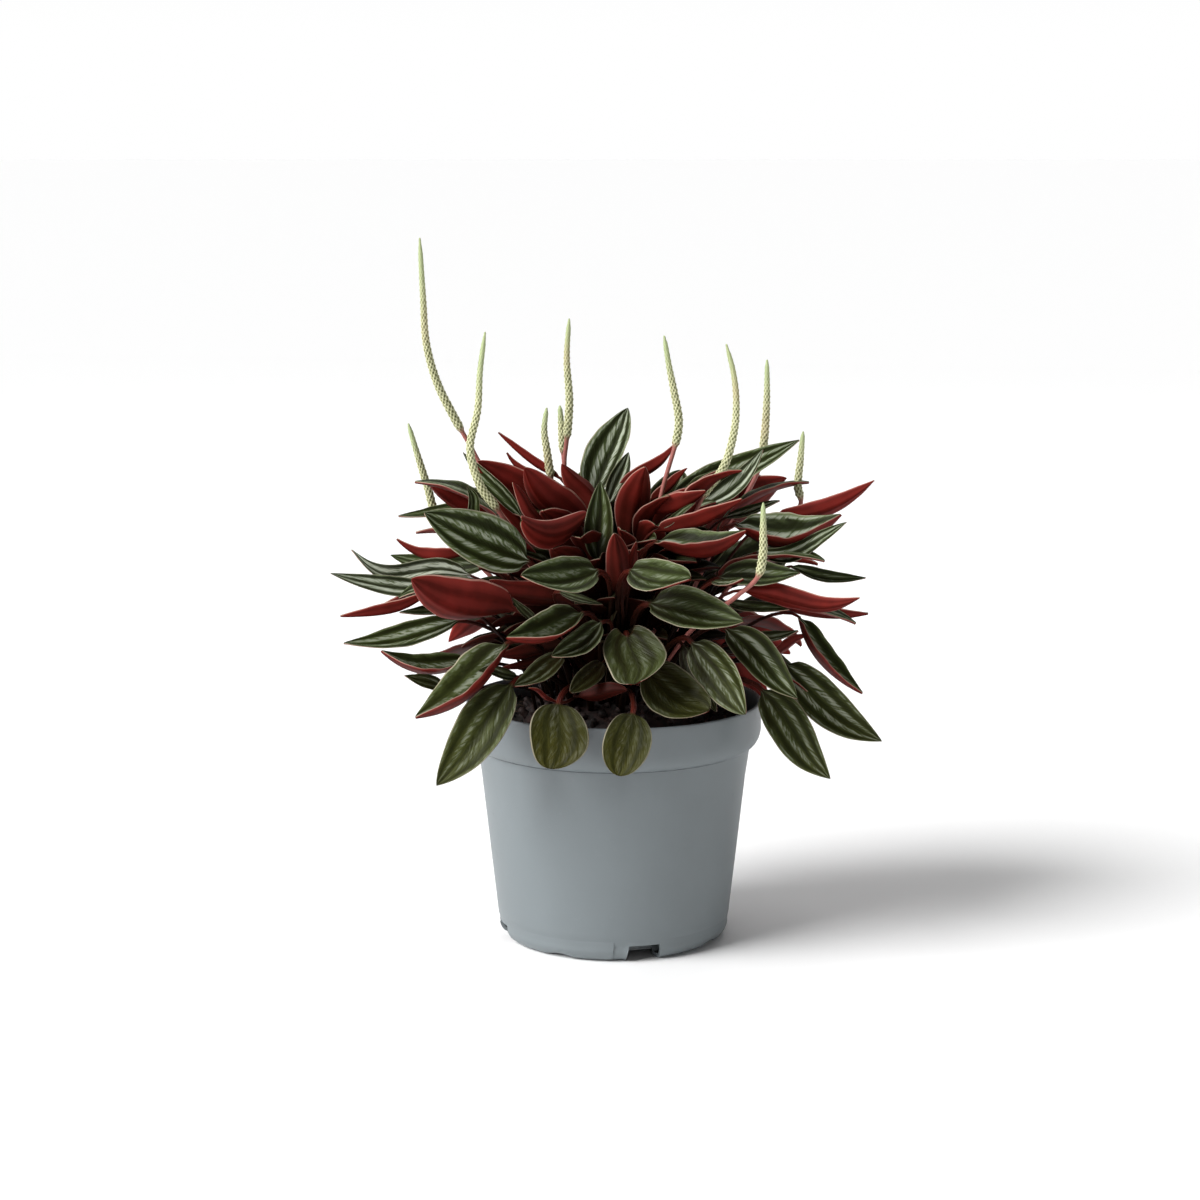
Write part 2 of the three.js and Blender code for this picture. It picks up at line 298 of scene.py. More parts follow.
def makeStudio():
    scene = bpy.context.scene
    camera = added("camera", bpy.data.cameras.new("camera"))
    camera.data.sensor_width = view["sensor"]
    camera.data.lens = view["lens"]
    camera.data.clip_end = 100
    camera.location = view["cameraPlace"]
    camera.rotation_euler = (math.radians(90 - view["cameraPitch"]), 0, 0)
    scene.camera = camera
    scene.view_settings.view_transform = "Standard"

    sun = added("sun", bpy.data.lights.new("sun", "SUN"))
    sun.data.angle = math.radians(view["sunSpread"])
    sun.data.energy = view["sunStrength"]
    aim(sun, [-part for part in view["sunFrom"]])
    top = added("topLight", bpy.data.lights.new("topLight", "AREA"))
    top.data.shape = "DISK"
    top.data.size = view["topSize"]
    top.data.energy = view["topPower"]
    top.location = view["topPlace"]
    aim(top, [-part for part in view["topPlace"]])

    # a sky that is white near the horizon and dimmer overhead
    scene.world = bpy.data.worlds.new("sky")
    paint = Paint(scene.world)
    height = paint.node("SeparateXYZ", sockets={0: paint.node("TexCoord", out=0)}, out=2)
    strength = view["skyLow"] + paint.rise(height, *view["skyFade"]) * (view["skyHigh"] - view["skyLow"])
    glow = paint.node("Background", sockets={"Color": (1, 1, 1, 1), "Strength": strength})
    paint.node("OutputWorld", sockets={"Surface": glow})

    paint = newPaint("floorPaint")
    color = (*view["floorColor"], 1)
    sockets = {"Base Color": color, "Roughness": view["floorRoughness"], "Specular IOR Level": 0.1}
    white = paint.surface(sockets)
    half = view["floorSize"] / 2
    corners = [(-half, -half, 0), (half, -half, 0), (half, half, 0), (-half, half, 0)]
    mesh = bpy.data.meshes.new("floor")
    mesh.from_pydata(corners, [], [(0, 1, 2, 3)])
    floor = added("floor", mesh)
    mesh.materials.append(white)


makeStudio()
print("studio made")


# ---- the pot

pot = {
    "height": 98.0,
    "collarRadius": 60.0,
    "collarCurveTop": 87.0,
    "collarFoot": 79.6,
    "bodyTopRadius": 55.2,
    "footRadius": 47.0,
    "footRounding": 6.0,
    "wall": 1.3,
    "floorThickness": 1.8,
    "notchAngle": -75.0,
    "notchWidth": 12.0,  # at its top
    "notchRadius": 45.0,  # where it has that width
    "notchSlant": 0.2,  # how much wider it is at its foot, as a share
    "notchHeight": 7.0,
    "notchInnerRadius": 37.0,
    "notchCells": 8,  # columns of quads across a notch
    "archWidth": 13.0,  # a low arch between two notches
    "archHeight": 1.1,
    "archInnerRadii": (38.0, 41.0),  # it opens between these
    "archFade": 4.0,  # and dies out at this height
    "widthRadius": 46.0,  # where the arches and panels have their widths
    "baseRecess": 2.4,  # how far the middle of the base is above the ground
    "seamHeight": 9.0,  # a faint moulding line round the foot
    "seamDepth": 0.16,
    "seamWidth": 0.35,
    "panelWidth": 6.0,  # a shallow panel beside each notch
    "panelDepth": 0.5,
    "ledge": 0.35,  # a thin ledge right under the collar
    "ledgeFade": 14.0,  # how far below the collar the wall starts to swell to it
    "sharpAngle": 34.0,  # degrees, past which an edge stays crisp
    "color": (0.163, 0.187, 0.197),
    "scuffColor": (0.5, 0.52, 0.54),
    "roughness": 0.42,
}


def potPaint():
    # moulded plastic: faint clouds in the colour, a fine grain, and light scuffs
    paint = newPaint("potPaint")
    at = paint.place()
    clouds = paint.noise(at, 22, 4)
    grain = paint.noise(at, 900, 2)
    scuffs = paint.rise(paint.noise(at, 160, 5, 0.7), 0.6, 0.72)
    base = pot["color"]
    color = paint.mix(clouds, tuple(c * 0.9 for c in base), tuple(c * 1.1 for c in base))
    color = paint.mix(scuffs * 0.03, color, pot["scuffColor"])
    roughness = pot["roughness"] + clouds * 0.1 + scuffs * 0.12
    bumps = [(clouds, 0.25, 0.0004), (grain, 0.12, 0.0001)]
    return paint.surface({"Base Color": color, "Roughness": roughness}, bumps)


def arcPoints(centre, radius, degrees):
    # places on a circle in the profile's plane, by their angles above the level
    turn = np.radians(degrees)
    return centre + radius * np.stack([np.cos(turn), np.sin(turn)], -1)


def potProfiles():
    # the wall's outside and inside as matching points, radius and height, from the base's middle to the rim
    wall, rounding, recess = pot["wall"], pot["footRounding"], pot["baseRecess"]
    collarFoot, seam = pot["collarFoot"], pot["seamHeight"]
    standing = pot["notchInnerRadius"] + 1.5  # the pot stands on the ring outside this radius
    flat = np.array([[0.01, recess], [18, recess], [pot["notchInnerRadius"], recess], [standing, 0]])
    footCentre = np.array([pot["footRadius"] - rounding, rounding])
    footTurn = [-90, -78, -66, -54, -42, -30, -18, -8]
    outArc, inArc = (arcPoints(footCentre, radius, footTurn) for radius in (rounding, rounding - wall))

    low = [rounding, pot["notchHeight"], seam - pot["seamWidth"], seam, seam + pot["seamWidth"]]
    underLedge = collarFoot - np.array([1.5, 0.9, 0.5, 0.2])
    heights = np.concatenate([low, np.linspace(seam + 3, collarFoot - 3, 21), underLedge])
    rise = (heights - rounding) / (collarFoot - rounding)
    body = np.stack([pot["footRadius"] + (pot["bodyTopRadius"] - pot["footRadius"]) * rise, heights], -1)
    inBody = body - [wall, 0]
    body[heights < seam + 0.1, 0] -= pot["seamDepth"]
    body[:, 0] += pot["ledge"] * smoothstep(collarFoot - pot["ledgeFade"], collarFoot - 1, heights)

    bend = np.radians([0, 8, 18, 30, 44, 58, 72, 84])
    bendWidth = pot["collarRadius"] - pot["bodyTopRadius"]
    bendHeight = pot["collarCurveTop"] - collarFoot
    outBend = np.stack([pot["bodyTopRadius"] + bendWidth * np.sin(bend),
                        collarFoot + bendHeight * (1 - np.cos(bend))], -1)
    inBend = outBend + [-wall, wall]
    upright = np.linspace(pot["collarCurveTop"] + 1.4, pot["height"] - wall / 2, 7)
    outTop = np.stack([np.full(len(upright), pot["collarRadius"]), upright], -1)
    inTop = outTop - [wall, 0]
    outside = np.concatenate([flat, outArc, body, outBend, outTop])
    inside = np.concatenate([flat + [0, pot["floorThickness"]], inArc, inBody, inBend, inTop])
    inside[:, 1] = np.maximum(inside[:, 1], pot["floorThickness"])
    return outside, inside


def potAngles(half, panel):
    # the columns of the wall in degrees, a quarter at a time: a notch, the wall after it, and the panel of
    # the next notch; half is half a notch's angle and panel is a panel's
    start = pot["notchAngle"]
    panelStart = start + 90 - half - panel
    notch = np.linspace(start - half, start + half, pot["notchCells"] + 1)
    between = np.linspace(start + half, panelStart, 46)[1:]
    panelColumns = np.linspace(panelStart, start + 90 - half, 6)[1:-1]
    quarter = np.concatenate([notch, between, [panelStart + 0.15], panelColumns])
    return np.concatenate([quarter + 90 * number for number in range(4)])


def makePot():
    # one sheet runs up the outside of the wall, over the lip and down the inside; the cells of each notch
    # are left out of both skins, and the two cut edges are joined
    outside, inside = potProfiles()
    notchHeight = pot["notchHeight"]
    half = math.degrees(math.asin(pot["notchWidth"] / 2 / pot["notchRadius"]))
    panel = math.degrees(pot["panelWidth"] / pot["widthRadius"])
    angles = np.radians(potAngles(half, panel))
    lipCentre = np.array([pot["collarRadius"] - pot["wall"] / 2, outside[-1, 1]])
    lip = arcPoints(lipCentre, pot["wall"] / 2, [30, 60, 90, 120, 150])
    profile = np.concatenate([outside, lip, inside[::-1]])
    columns, rows, last = len(angles), len(outside), len(profile) - 1
    isOutside = (np.arange(len(profile)) < rows)[:, None]
    radius = np.repeat(profile[:, :1], columns, 1)
    height = np.repeat(profile[:, 1:], columns, 1)

    turned = (np.degrees(angles) - pot["notchAngle"] + half) % 90  # degrees past the start of each notch
    inPanel = (turned > 90 - panel + 0.1)[None] & (height < notchHeight + 0.4) & isOutside
    radius = np.where(inPanel & (height > 0.4), radius - pot["panelDepth"], radius)
    sideways = (turned - half - 45) * math.radians(1) * pot["widthRadius"] / (pot["archWidth"] / 2)
    opened = smoothstep(*pot["archInnerRadii"], radius)
    arch = pot["archHeight"] * np.clip(1 - sideways ** 2, 0, 1)[None] * opened
    under = isOutside & (height < pot["archFade"])
    height = np.where(under, height + arch * np.clip(1 - height / pot["archFade"], 0, 1), height)

    # the notches widen towards the ground, and the columns beside them give way
    offCentre = (turned - half + 45) % 90 - 45
    wider = pot["notchSlant"] * np.clip(1 - height / notchHeight, 0, 1)
    spread = np.radians(offCentre) * wider * np.clip((2.4 - abs(offCentre) / half) / 1.4, 0, 1)
    points = polar(radius, angles + spread, height)
    keep = np.ones((last, columns), dtype=bool)
    low, high = 2, int(np.argmin(abs(outside[:, 1] - notchHeight)))
    inNotch = turned < 2 * half - 0.01
    keep[low:high, inNotch] = False
    keep[last - high:last - low, inNotch] = False
    faces = gridFaces(len(profile), columns)[keep.reshape(-1)]

    def edges(rowA, rowB, columnA, columnB):
        # a quad from an edge of the outside to the same edge of the inside
        near = [rowA * columns + columnA, rowB * columns + columnB]
        far = [(last - rowA) * columns + columnA, (last - rowB) * columns + columnB]
        return np.stack([near[0], near[1], far[1], far[0]], -1)

    notchColumns = np.flatnonzero(inNotch)
    ahead = (notchColumns + 1) % columns
    joins = [edges(low, low, notchColumns, ahead), edges(high, high, ahead, notchColumns)]
    cells = pot["notchCells"]
    starts, ends = notchColumns[::cells], ahead[cells - 1::cells]
    for row in range(low, high):
        joins.append(edges(row + 1, row, starts, starts))
        joins.append(edges(row, row + 1, ends, ends))
    poles = np.array([[0, 0, pot["baseRecess"]], [0, 0, pot["baseRecess"] + pot["floorThickness"]]])
    points = np.concatenate([points.reshape(-1, 3), poles])
    faceSets = [faces, *joins, *endFans(len(profile), columns)]
    sharp = pot["sharpAngle"]
    addPiece("nurseryPot", points, faceSets, potPaint(), ["nursery_pot"], sharp=sharp)


makePot()
print("pot made")


# ---- soil and crown

soil = {
    "top": 90.0,
    "flatRadius": 50.0,
    "edgeTop": 88.5,
    "edgeRadius": 58.0,
    "sides": [(58.1, 88), (52.9, 79), (45, 7), (40, 5)],  # radius and height, down inside the pot
    "around": 288,
    "rings": 74,
    "roughness": 1.1,  # height of the lumps
    "crumbs": 620,
    "fibres": 90,
    "dark": (0.004, 0.0028, 0.002),
    "light": (0.020, 0.012, 0.008),
    "speckColor": (0.13, 0.085, 0.055),
    "fibreColor": (0.13, 0.075, 0.04),
}

crown = {
    "radius": 37.0,
    "height": 14.0,
    "foot": 89.0,  # a little below the top of the soil
    "around": 96,
    "rings": 26,
    "stubs": 150,
    "stubLength": 4.5,
    "stubShape": (1.25, 1.1, 1.0, 1.05, 1.0, 0.6),  # how thick a stub is from its foot to its end, as shares
    "dark": (0.006, 0.003, 0.002),
    "light": (0.030, 0.011, 0.008),
}


def soilHeight(x, y):
    # level in the middle, lower towards the edge, with lumps made of waves
    radius = np.hypot(x, y)
    edge = np.clip((radius - soil["flatRadius"]) / (soil["edgeRadius"] - soil["flatRadius"]), 0, 1)
    level = soil["top"] + (soil["edgeTop"] - soil["top"]) * edge
    return level + soil["roughness"] * (waves(x, y, 0, 3, 5, 0.35) - 0.4)


def soilPaint(name, dark, light):
    # lumps of two sizes in the colour, and a few pale specks
    paint = newPaint(name)
    at = paint.place()
    lumps = paint.noise(at, 420, 5, 0.7)
    broad = paint.noise(at, 90, 3)
    specks = paint.rise(paint.noise(at, 1500, 2), 0.66, 0.74)
    color = paint.mix(paint.rise(lumps * 0.7 + broad * 0.3, 0.35, 0.68), dark, light)
    color = paint.mix(specks * 0.5, color, soil["speckColor"])
    bumps = [(lumps, 0.8, 0.0012), (specks, 0.4, 0.0004)]
    return paint.surface({"Base Color": color, "Roughness": 0.92}, bumps)


def makeSoil():
    # its rings are finer towards the rim, where it shows, and its sides go down to the pot's floor
    radii = soil["edgeRadius"] * np.linspace(0.02, 1, soil["rings"]) ** 0.75
    paint = soilPaint("soilPaint", soil["dark"], soil["light"])
    addMound("pottingSoil", radii, soil["around"], soilHeight, soil["sides"], soil["top"], paint,
             "potting_soil")


def makeCrumbs():
    # lumps of peat: a cube's corners and face centres pushed out to a rough ball, each turned and stretched
    draw = np.random.default_rng(11)
    count = soil["crumbs"]
    corners = np.array([[x, y, z] for x in (-1, 1) for y in (-1, 1) for z in (-1, 1)]) / 1.35
    centres = np.array([[1, 0, 0], [-1, 0, 0], [0, 1, 0], [0, -1, 0], [0, 0, 1], [0, 0, -1]]) * 1.1
    shape = np.concatenate([corners, centres])
    rims = [[4, 6, 7, 5], [0, 1, 3, 2], [2, 3, 7, 6], [0, 4, 5, 1], [1, 5, 7, 3], [0, 2, 6, 4]]
    faces = np.concatenate([fanFaces(np.array(rim), 8 + k, True) for k, rim in enumerate(rims)])
    radius = soil["edgeRadius"] * 0.985 * np.sqrt(draw.uniform(0.3, 1, count))
    angle = draw.uniform(0, 2 * math.pi, count)
    x, y = radius * np.cos(angle), radius * np.sin(angle)
    size = 0.35 + 1.0 * draw.uniform(0, 1, count) ** 3
    centre = np.stack([x, y, soilHeight(x, y) + 0.15 * size], -1)
    frames = np.linalg.qr(draw.normal(size=(count, 3, 3)))[0]
    frames *= np.sign(np.linalg.det(frames))[:, None, None]
    lumps = shape[None] * draw.uniform(0.7, 1.3, (count, len(shape), 1))
    lumps = lumps * draw.uniform(0.6, 1.4, (count, 1, 3))
    points = centre[:, None] + size[:, None, None] * np.einsum("kij,knj->kni", frames, lumps)
    allFaces = (faces[None] + len(shape) * np.arange(count)[:, None, None]).reshape(-1, 3)
    paint = soilPaint("crumbPaint", soil["dark"], tuple(1.6 * c for c in soil["light"]))
    addPiece("peatCrumbs", points, [allFaces], paint)


def tubeSet(paths, radii, around):
    # closed tubes along many paths at once: paths (count, rings, 3), radii (count, rings); each ring is a
    # circle across its path, and a pole closes each end
    count, rings, _ = paths.shape
    along = unit(np.gradient(paths, axis=1))
    side = unit(np.cross(along, [0.31, 0.22, 0.92]))  # any direction that no path runs along
    top = np.cross(side, along)
    skin = paths[:, :, None] + spokes(side, top, ringAngles(around)) * radii[:, :, None, None]
    points = np.concatenate([skin.reshape(count, -1, 3), paths[:, :1], paths[:, -1:]], 1)
    return points, copiedFaces(rings, around, count)


def makeFibres():
    # thin curved strands that lie on the soil, each a short walk that keeps turning a little
    draw = np.random.default_rng(5)
    count, rings = soil["fibres"], 7
    angle = draw.uniform(0, 2 * math.pi, count)
    radius = draw.uniform(36, 56, count)
    start = np.stack([radius * np.cos(angle), radius * np.sin(angle)], -1)
    heading = draw.uniform(0, 2 * math.pi, count)[:, None]
    heading = heading + np.linspace(0, 1, rings) * draw.normal(0, 1.6, (count, 1))
    step = draw.uniform(0.5, 1.6, (count, 1))
    flat = start[:, None] + np.cumsum(np.stack([np.cos(heading), np.sin(heading)], -1) * step[..., None], 1)
    reach = np.linalg.norm(flat, axis=-1, keepdims=True)
    flat *= np.minimum(1, (soil["edgeRadius"] - 1) / reach)
    lift = 0.25 + draw.uniform(0, 1.2, (count, 1)) * np.sin(np.linspace(0.2, 2.9, rings)) ** 2
    paths = np.concatenate([flat, (soilHeight(flat[..., 0], flat[..., 1]) + lift)[..., None]], -1)
    radii = draw.uniform(0.1, 0.26, (count, 1)) * np.sin(np.linspace(0.35, 2.8, rings))
    points, faces = tubeSet(paths, radii, 5)
    paint = soilPaint("fibrePaint", tuple(0.4 * c for c in soil["fibreColor"]), soil["fibreColor"])
    addPiece("peatFibres", points, faces, paint)


def crownTop(radius):
    # the height of the crown's dome, a quarter of an ellipse, at a distance from the axis
    return soil["top"] + crown["height"] * np.sqrt(np.maximum(0, 1 - (radius / crown["radius"]) ** 2))


def crownPaint():
    # brown knots
    paint = newPaint("crownPaint")
    at = paint.place()
    knots = paint.noise(at, 260, 4, 0.6)
    color = paint.mix(paint.rise(knots, 0.35, 0.68), crown["dark"], crown["light"])
    return paint.surface({"Base Color": color, "Roughness": 0.7}, [(knots, 0.5, 0.0008)])


def makeCrown():
    # a low dome of short scarred stems: a lumpy dome, and stubs that stand out of it
    radii = crown["radius"] * np.sin(np.linspace(0.03, math.pi / 2, crown["rings"]))
    paint = crownPaint()

    def height(x, y):
        return crownTop(radii)[:, None] + 0.5 * waves(x, y, 0, 8, 4, 0.7) - 0.4

    addMound("crownDome", radii, crown["around"], height, [(crown["radius"], crown["foot"])],
             crownTop(0) - 0.3, paint, "crown")

    draw = np.random.default_rng(21)
    count, rings = crown["stubs"], len(crown["stubShape"])
    angle = 2.39996 * np.arange(count)  # the golden angle
    radius = crown["radius"] * 0.97 * np.sqrt((np.arange(count) + 0.5) / count)
    foot = polar(radius, angle, crownTop(radius) - 1.5)
    lean = np.stack([np.cos(angle) * radius / 34, np.sin(angle) * radius / 34, np.full(count, 0.9)], -1)
    lean = unit(lean + draw.normal(0, 0.22, (count, 3)))
    length = crown["stubLength"] * draw.uniform(0.5, 1.3, (count, 1))
    paths = foot[:, None] + lean[:, None] * (length * np.linspace(0, 1, rings))[..., None]
    radii = draw.uniform(1.0, 1.7, (count, 1)) * np.array(crown["stubShape"])
    points, faces = tubeSet(paths, radii, 8)
    addPiece("crownStubs", points, faces, paint)


makeSoil()
makeCrumbs()
makeFibres()
makeCrown()
print("soil and crown made")


# ---- leaves

leaf = {
    "thickness": 0.75,
    "stalkRadius": 1.0,
    "rootReach": 0.42,  # a root's distance from the pot's axis, as a share of the blade base's
    "rootSink": 0.8,  # how far a root is sunk into the crown
    "stalkClimb": 0.36,  # inner corners of a stalk's curve, as shares of its straight length: above the root,
    "stalkArrival": 0.2,  # in line with the blade behind its base,
    "stalkSag": 0.04,  # and below that line
    "stalkSwell": 0.28,  # how much thicker a stalk is at its root, as a share
    "ribDepth": 0.65,  # height of the ribs on a blade 20 wide
    "rippleDepth": 0.1,
    "rippleLength": 3.3,  # from one to the next
    "midrib": 0.3,  # how far it stands out underneath
    "midribWidth": 0.08,  # as a share of half the blade
    "waviness": 0.025,  # of the margins, as a share of the width
    "twist": 7.0,  # how much blades differ, in degrees from base to tip
    "oliveFrom": (142, 98),  # heights between which leaves turn from green to olive
    "topSheenFrom": (155, 185),  # heights between which they get more silver and painted sheen, standing in for the stronger light on top
    "outsideRadius": 95.0,  # the plant's outside, as an ellipsoid, for the painted shade inside it
    "outsideHeight": 90.0,
    "middleHeight": 118.0,
    "furrow": (0.013, 0.016, 0.003),
    "green": (0.066, 0.090, 0.027),
    # crest is partly the ribs' paler colour and partly a painted highlight; silver is partly the leaf's own
    # and partly a painted sheen
    "crest": (0.165, 0.205, 0.095),
    "silverSheen": (0.56, 0.60, 0.49),
    "deep": (0.008, 0.003, 0.001),  # painted shade: the colour of what is deep inside the plant
    "olive": (0.015, 0.015, 0.002),
    "oliveCrest": (0.052, 0.050, 0.009),
    "underside": (0.130, 0.008, 0.005),
    "undersideDark": (0.050, 0.003, 0.001),
    # painted light on the underside, towards its margins and over its ribs
    "undersidePaintedLight": (0.30, 0.037, 0.029),
    "margin": (0.50, 0.46, 0.33),
    "redMargin": (0.55, 0.30, 0.24),
    "stalk": (0.110, 0.017, 0.011),
    # painted shade: a stalk darkens towards its root, deep in the plant
    "stalkRootShade": (0.022, 0.005, 0.004),
}

# one row a leaf: blade base, blade tip, blade width, roll in degrees, and how far the midrib arches off the
# straight line, along the face and sideways; then cup, the lift of the margins as a share of the width, and
# roundness, from a narrow pointed blade, 0, to a round one, 1
leafRows = [
    # upright, round the middle
    [[-8.5, 14, 178], [6, 38, 212.5], 17, 10, 0, 0, 0.35, 0.1],
    [[-6, -30, 158.5], [-5.5, -28, 190.5], 11.5, 11, 0, 0, 0.42, 0.1],
    [[6, -12, 163.5], [12, -28, 196], 14.5, -6, 0, 0, 0.4, 0.2],
    [[3, -38, 143.5], [0, -50, 173], 10.5, 27, 0, -1, 0.4, 0.3],
    [[1.5, 7, 182], [25, 12, 201], 6.5, -64, -1.5, -1.5, 0.4, 0],
    [[14.5, -22, 177.5], [35.5, -34, 187.5], 12, -36, -2.5, -2, 0.35, 0.1],
    [[-10.5, -16, 170.5], [-35, -33, 196.5], 16.5, 40, -2.5, 4, 0.4, 0.2],
    [[-15, -5, 173.5], [-54, -16, 197], 15, 59, -1.5, 2.5, 0.4, 0.2],
    [[-30.5, -15, 162], [-54.5, -24, 196.5], 6, 110, -0.5, -0.5, 0.4, 0],
    [[-10.5, -30, 177.5], [-35.5, -60, 179.5], 11.5, 91, -1, 7, 0.35, 0.9],
    # towards -X, from high to low
    [[-33.5, -38, 160], [-73, -54, 181.5], 22, -71, -0.5, -1, 0.2, 0.15],
    [[-50, 0, 174.5], [-75, -4, 187.5], 9, 59, -2, 3, 0.4, 0.1],
    [[-57.5, -10, 150], [-104.5, -16, 161.5], 9.5, -52, -2, -4, 0.2, 0],
    [[-74, -36, 146.5], [-106.5, -46, 140], 6.5, 52, -2.5, 2, 0.4, 0],
    [[-38.5, -44, 142.5], [-77.5, -64, 157.5], 22, 55, -4, 5.5, 0.35, 0.3],
    [[-6.5, -51, 158.5], [-35.5, -72, 160], 17, -46, -2, -3, 0.3, 0.35],
    [[-62, -21, 133.5], [-106.5, -34, 127], 12.5, -38, -2, -2.5, 0.25, 0],
    [[-41.5, -50, 130], [-76.5, -66, 104], 20, -11, -6, -3.5, 0.5, 0.1],
    [[-39.5, -58, 115.5], [-68, -76, 79.5], 19.5, -45, 0, -1, 0.15, 0.15],
    [[-12, -54, 142.5], [-41, -76, 137], 16, -22, -4.5, -4, 0.55, 0.15],
    # towards +X, from high to low
    [[23, 9, 179], [76, 22, 201], 14.5, 47, -1, 1.5, 0.2, 0],
    [[33.5, -7, 177.5], [60, 2, 199.5], 9.5, 41, -2, 3.5, 0.25, 0],
    [[16, -38, 168], [50.5, -52, 174.5], 14.5, 15, -7.5, 2.5, 0.59, 0.1],
    [[48, -14, 171.5], [89.5, -22, 176.5], 17.5, 26, -9, 6, 0.6, 0.05],
    [[65, 4, 172.5], [104.5, -2, 187.5], 9, -66, -2.5, -4.5, 0.3, 0],
    [[41.5, -30, 152.5], [72, -44, 156.5], 12.5, 48, -0.5, 0.5, 0.25, 0.1],
    [[50, -36, 148.5], [94.5, -54, 148.5], 10, -70, -2, -3.5, 0.3, 0.1],
    [[6, -54, 159], [28.5, -76, 159.5], 15.5, 44, -2, 2.5, 0.3, 0.7],
    [[13.5, -49, 145], [49, -70, 142], 18, 47, -0.5, 0.5, 0.25, 0.2],
    # low, over the rim
    [[5, -59, 134], [7.5, -76, 119], 23.5, 15, 0, -2, 0.08, 1],
    [[7, -68, 106], [1.5, -77, 83.5], 18.5, -26, 0, -0.5, 0.1, 0.75],
    [[-21.5, -64, 109], [-24.5, -74, 85.5], 23, -12, 0, -2, 0.1, 0.8],
    [[12, -55, 120.5], [36, -68, 107], 22, 42, -1.5, 3, 0.15, 0.7],
    [[30, -52, 130.5], [50, -70, 106], 17, 74, -0.5, -1.5, 0.2, 0.4],
    [[43.5, -43, 134], [70.5, -60, 110], 15.5, 43, 0, -0.5, 0.2, 0.1],
    [[58.5, -28, 107], [85, -44, 74.5], 17.5, 76, 0, 0, 0.15, 0.05],
    [[68, -17, 115.5], [106.5, -30, 86.5], 17.5, 57, -1, 3, 0.15, 0.05],
]
# these come again at the back, turned half way round the pot
backLeaves = [11, 15, 17, 18, 19, 27, 30, 34, 35]

# smaller leaves of the front, which the part leaves out
smallRows = [
    [[-2.5, 2, 177], [6, 17, 196.5], 7.5, 34, 0, 0, 0.35, 0.1],
    [[14.5, 3, 179], [29.5, 10, 191], 5.5, -72, -1, -1.5, 0.4, 0],
    [[-5.5, -7, 176], [-21, -6, 194.5], 10.5, 128, -0.5, -1, 0.4, 0.2],
    [[-21.5, 4, 187.5], [-46.5, 6, 206], 4.5, 59, -1, 1.5, 0.4, 0],
    [[-30, 2, 186], [-43, 4, 198], 3.5, 62, -1, 1, 0.4, 0],
    [[-27, -32, 174], [-39.5, -40, 191.5], 5.5, 89, 0.5, 1, 0.3, 0],
    [[-36.5, -26, 176.5], [-59.5, -22, 201], 6.5, -96, 0, 0.5, 0.3, 0],
    [[-52.5, -32, 174], [-57.5, -34, 189], 5, -106, 0, 0, 0.3, 0.2],
    [[-58, 5, 176], [-87, 2, 172.5], 6.5, -32, -1, -1, 0.3, 0],
    [[-58, -3, 158.5], [-87.5, 0, 163.5], 7, 50, -4, 3.5, 0.4, 0],
    [[-65.5, -18, 145.5], [-112, -26, 153.5], 8.5, -62, -0.5, -2, 0.2, 0],
    [[-59.5, -3, 136.5], [-86, -12, 135.5], 6.5, -29, -1, -1, 0.3, 0],
    [[-16.5, -36, 143], [-48.5, -49, 154.5], 12, 63, -1, 2, 0.3, 0.2],
    [[-57, -30, 119.5], [-91, -42, 125.5], 11.5, -23, -6, -3.5, 0.5, 0],
    [[-5, -58, 139.5], [-24, -70, 128.5], 11.5, -35, -1.5, -2.5, 0.25, 0.35],
    [[-20, -44, 124], [-38.5, -60, 115], 10.5, -27, -1, -1.5, 0.25, 0.3],
    [[-14, -50, 109], [5, -57, 113], 7, -78, 0, 0, 0.3, 0.3],
    [[-66.5, -36, 108.5], [-82, -44, 116], 6, -69, 0, 0.5, 0.2, 0],
    [[-37.5, -54, 117.5], [-52.5, -58, 120.5], 5, -61, 0, 0.5, 0.2, 0.2],
    [[-4.5, -46, 121.5], [-17, -60, 112.5], 8.5, -43, 0, -0.5, 0.2, 0.6],
    [[16, -31, 171.5], [49, -46, 186], 10, -29, -3.5, -2, 0.4, 0],
    [[16, -28, 172], [31.5, -40, 183.5], 4, 62, -1, 1, 0.3, 0],
    [[45, 0, 172], [67, 4, 178.5], 5.5, 39, -0.5, 1, 0.3, 0],
    [[56.5, -20, 161], [91, -30, 174.5], 7.5, 66, -1.5, 4.5, 0.2, 0.1],
    [[27, -39, 127], [39.5, -56, 104], 8.5, 51, 0, 0.5, 0.2, 0.3],
    [[74.5, -8, 133], [99.5, -20, 104], 11.5, 5, -4.5, 2.5, 0.5, 0],
    [[44.5, -24, 141.5], [68.5, -38, 141], 6, 38, -1, 1, 0.3, 0],
    [[49, -26, 126], [73, -26, 130.5], 6.5, 34, -1, 1, 0.3, 0],
    [[38, -42, 152.5], [49.5, -54, 156], 4.5, 27, -1.5, 1, 0.3, 0.2],
    [[-22.5, -60, 109], [-33, -66, 115.5], 2, 68, 0, 0, 0.3, 0],
    [[-19, -34, 126.5], [-46, -42, 123.5], 7.5, 72, -0.5, 1, 0.3, 0.1],
    [[-21.5, -34, 122], [-45, -40, 118], 4.5, 73, -0.5, 1, 0.3, 0.1],
    [[-21, -50, 150], [-4.5, -58, 146.5], 3.5, 55, 0, 0.5, 0.2, 0.1],
    [[-30.5, -42, 136], [-39.5, -46, 147], 4, -121, 0, 0.5, 0.2, 0.1],
    [[5.5, -36, 148.5], [8.5, -44, 169], 4.5, -17, 0, 0, 0.3, 0.1],
]

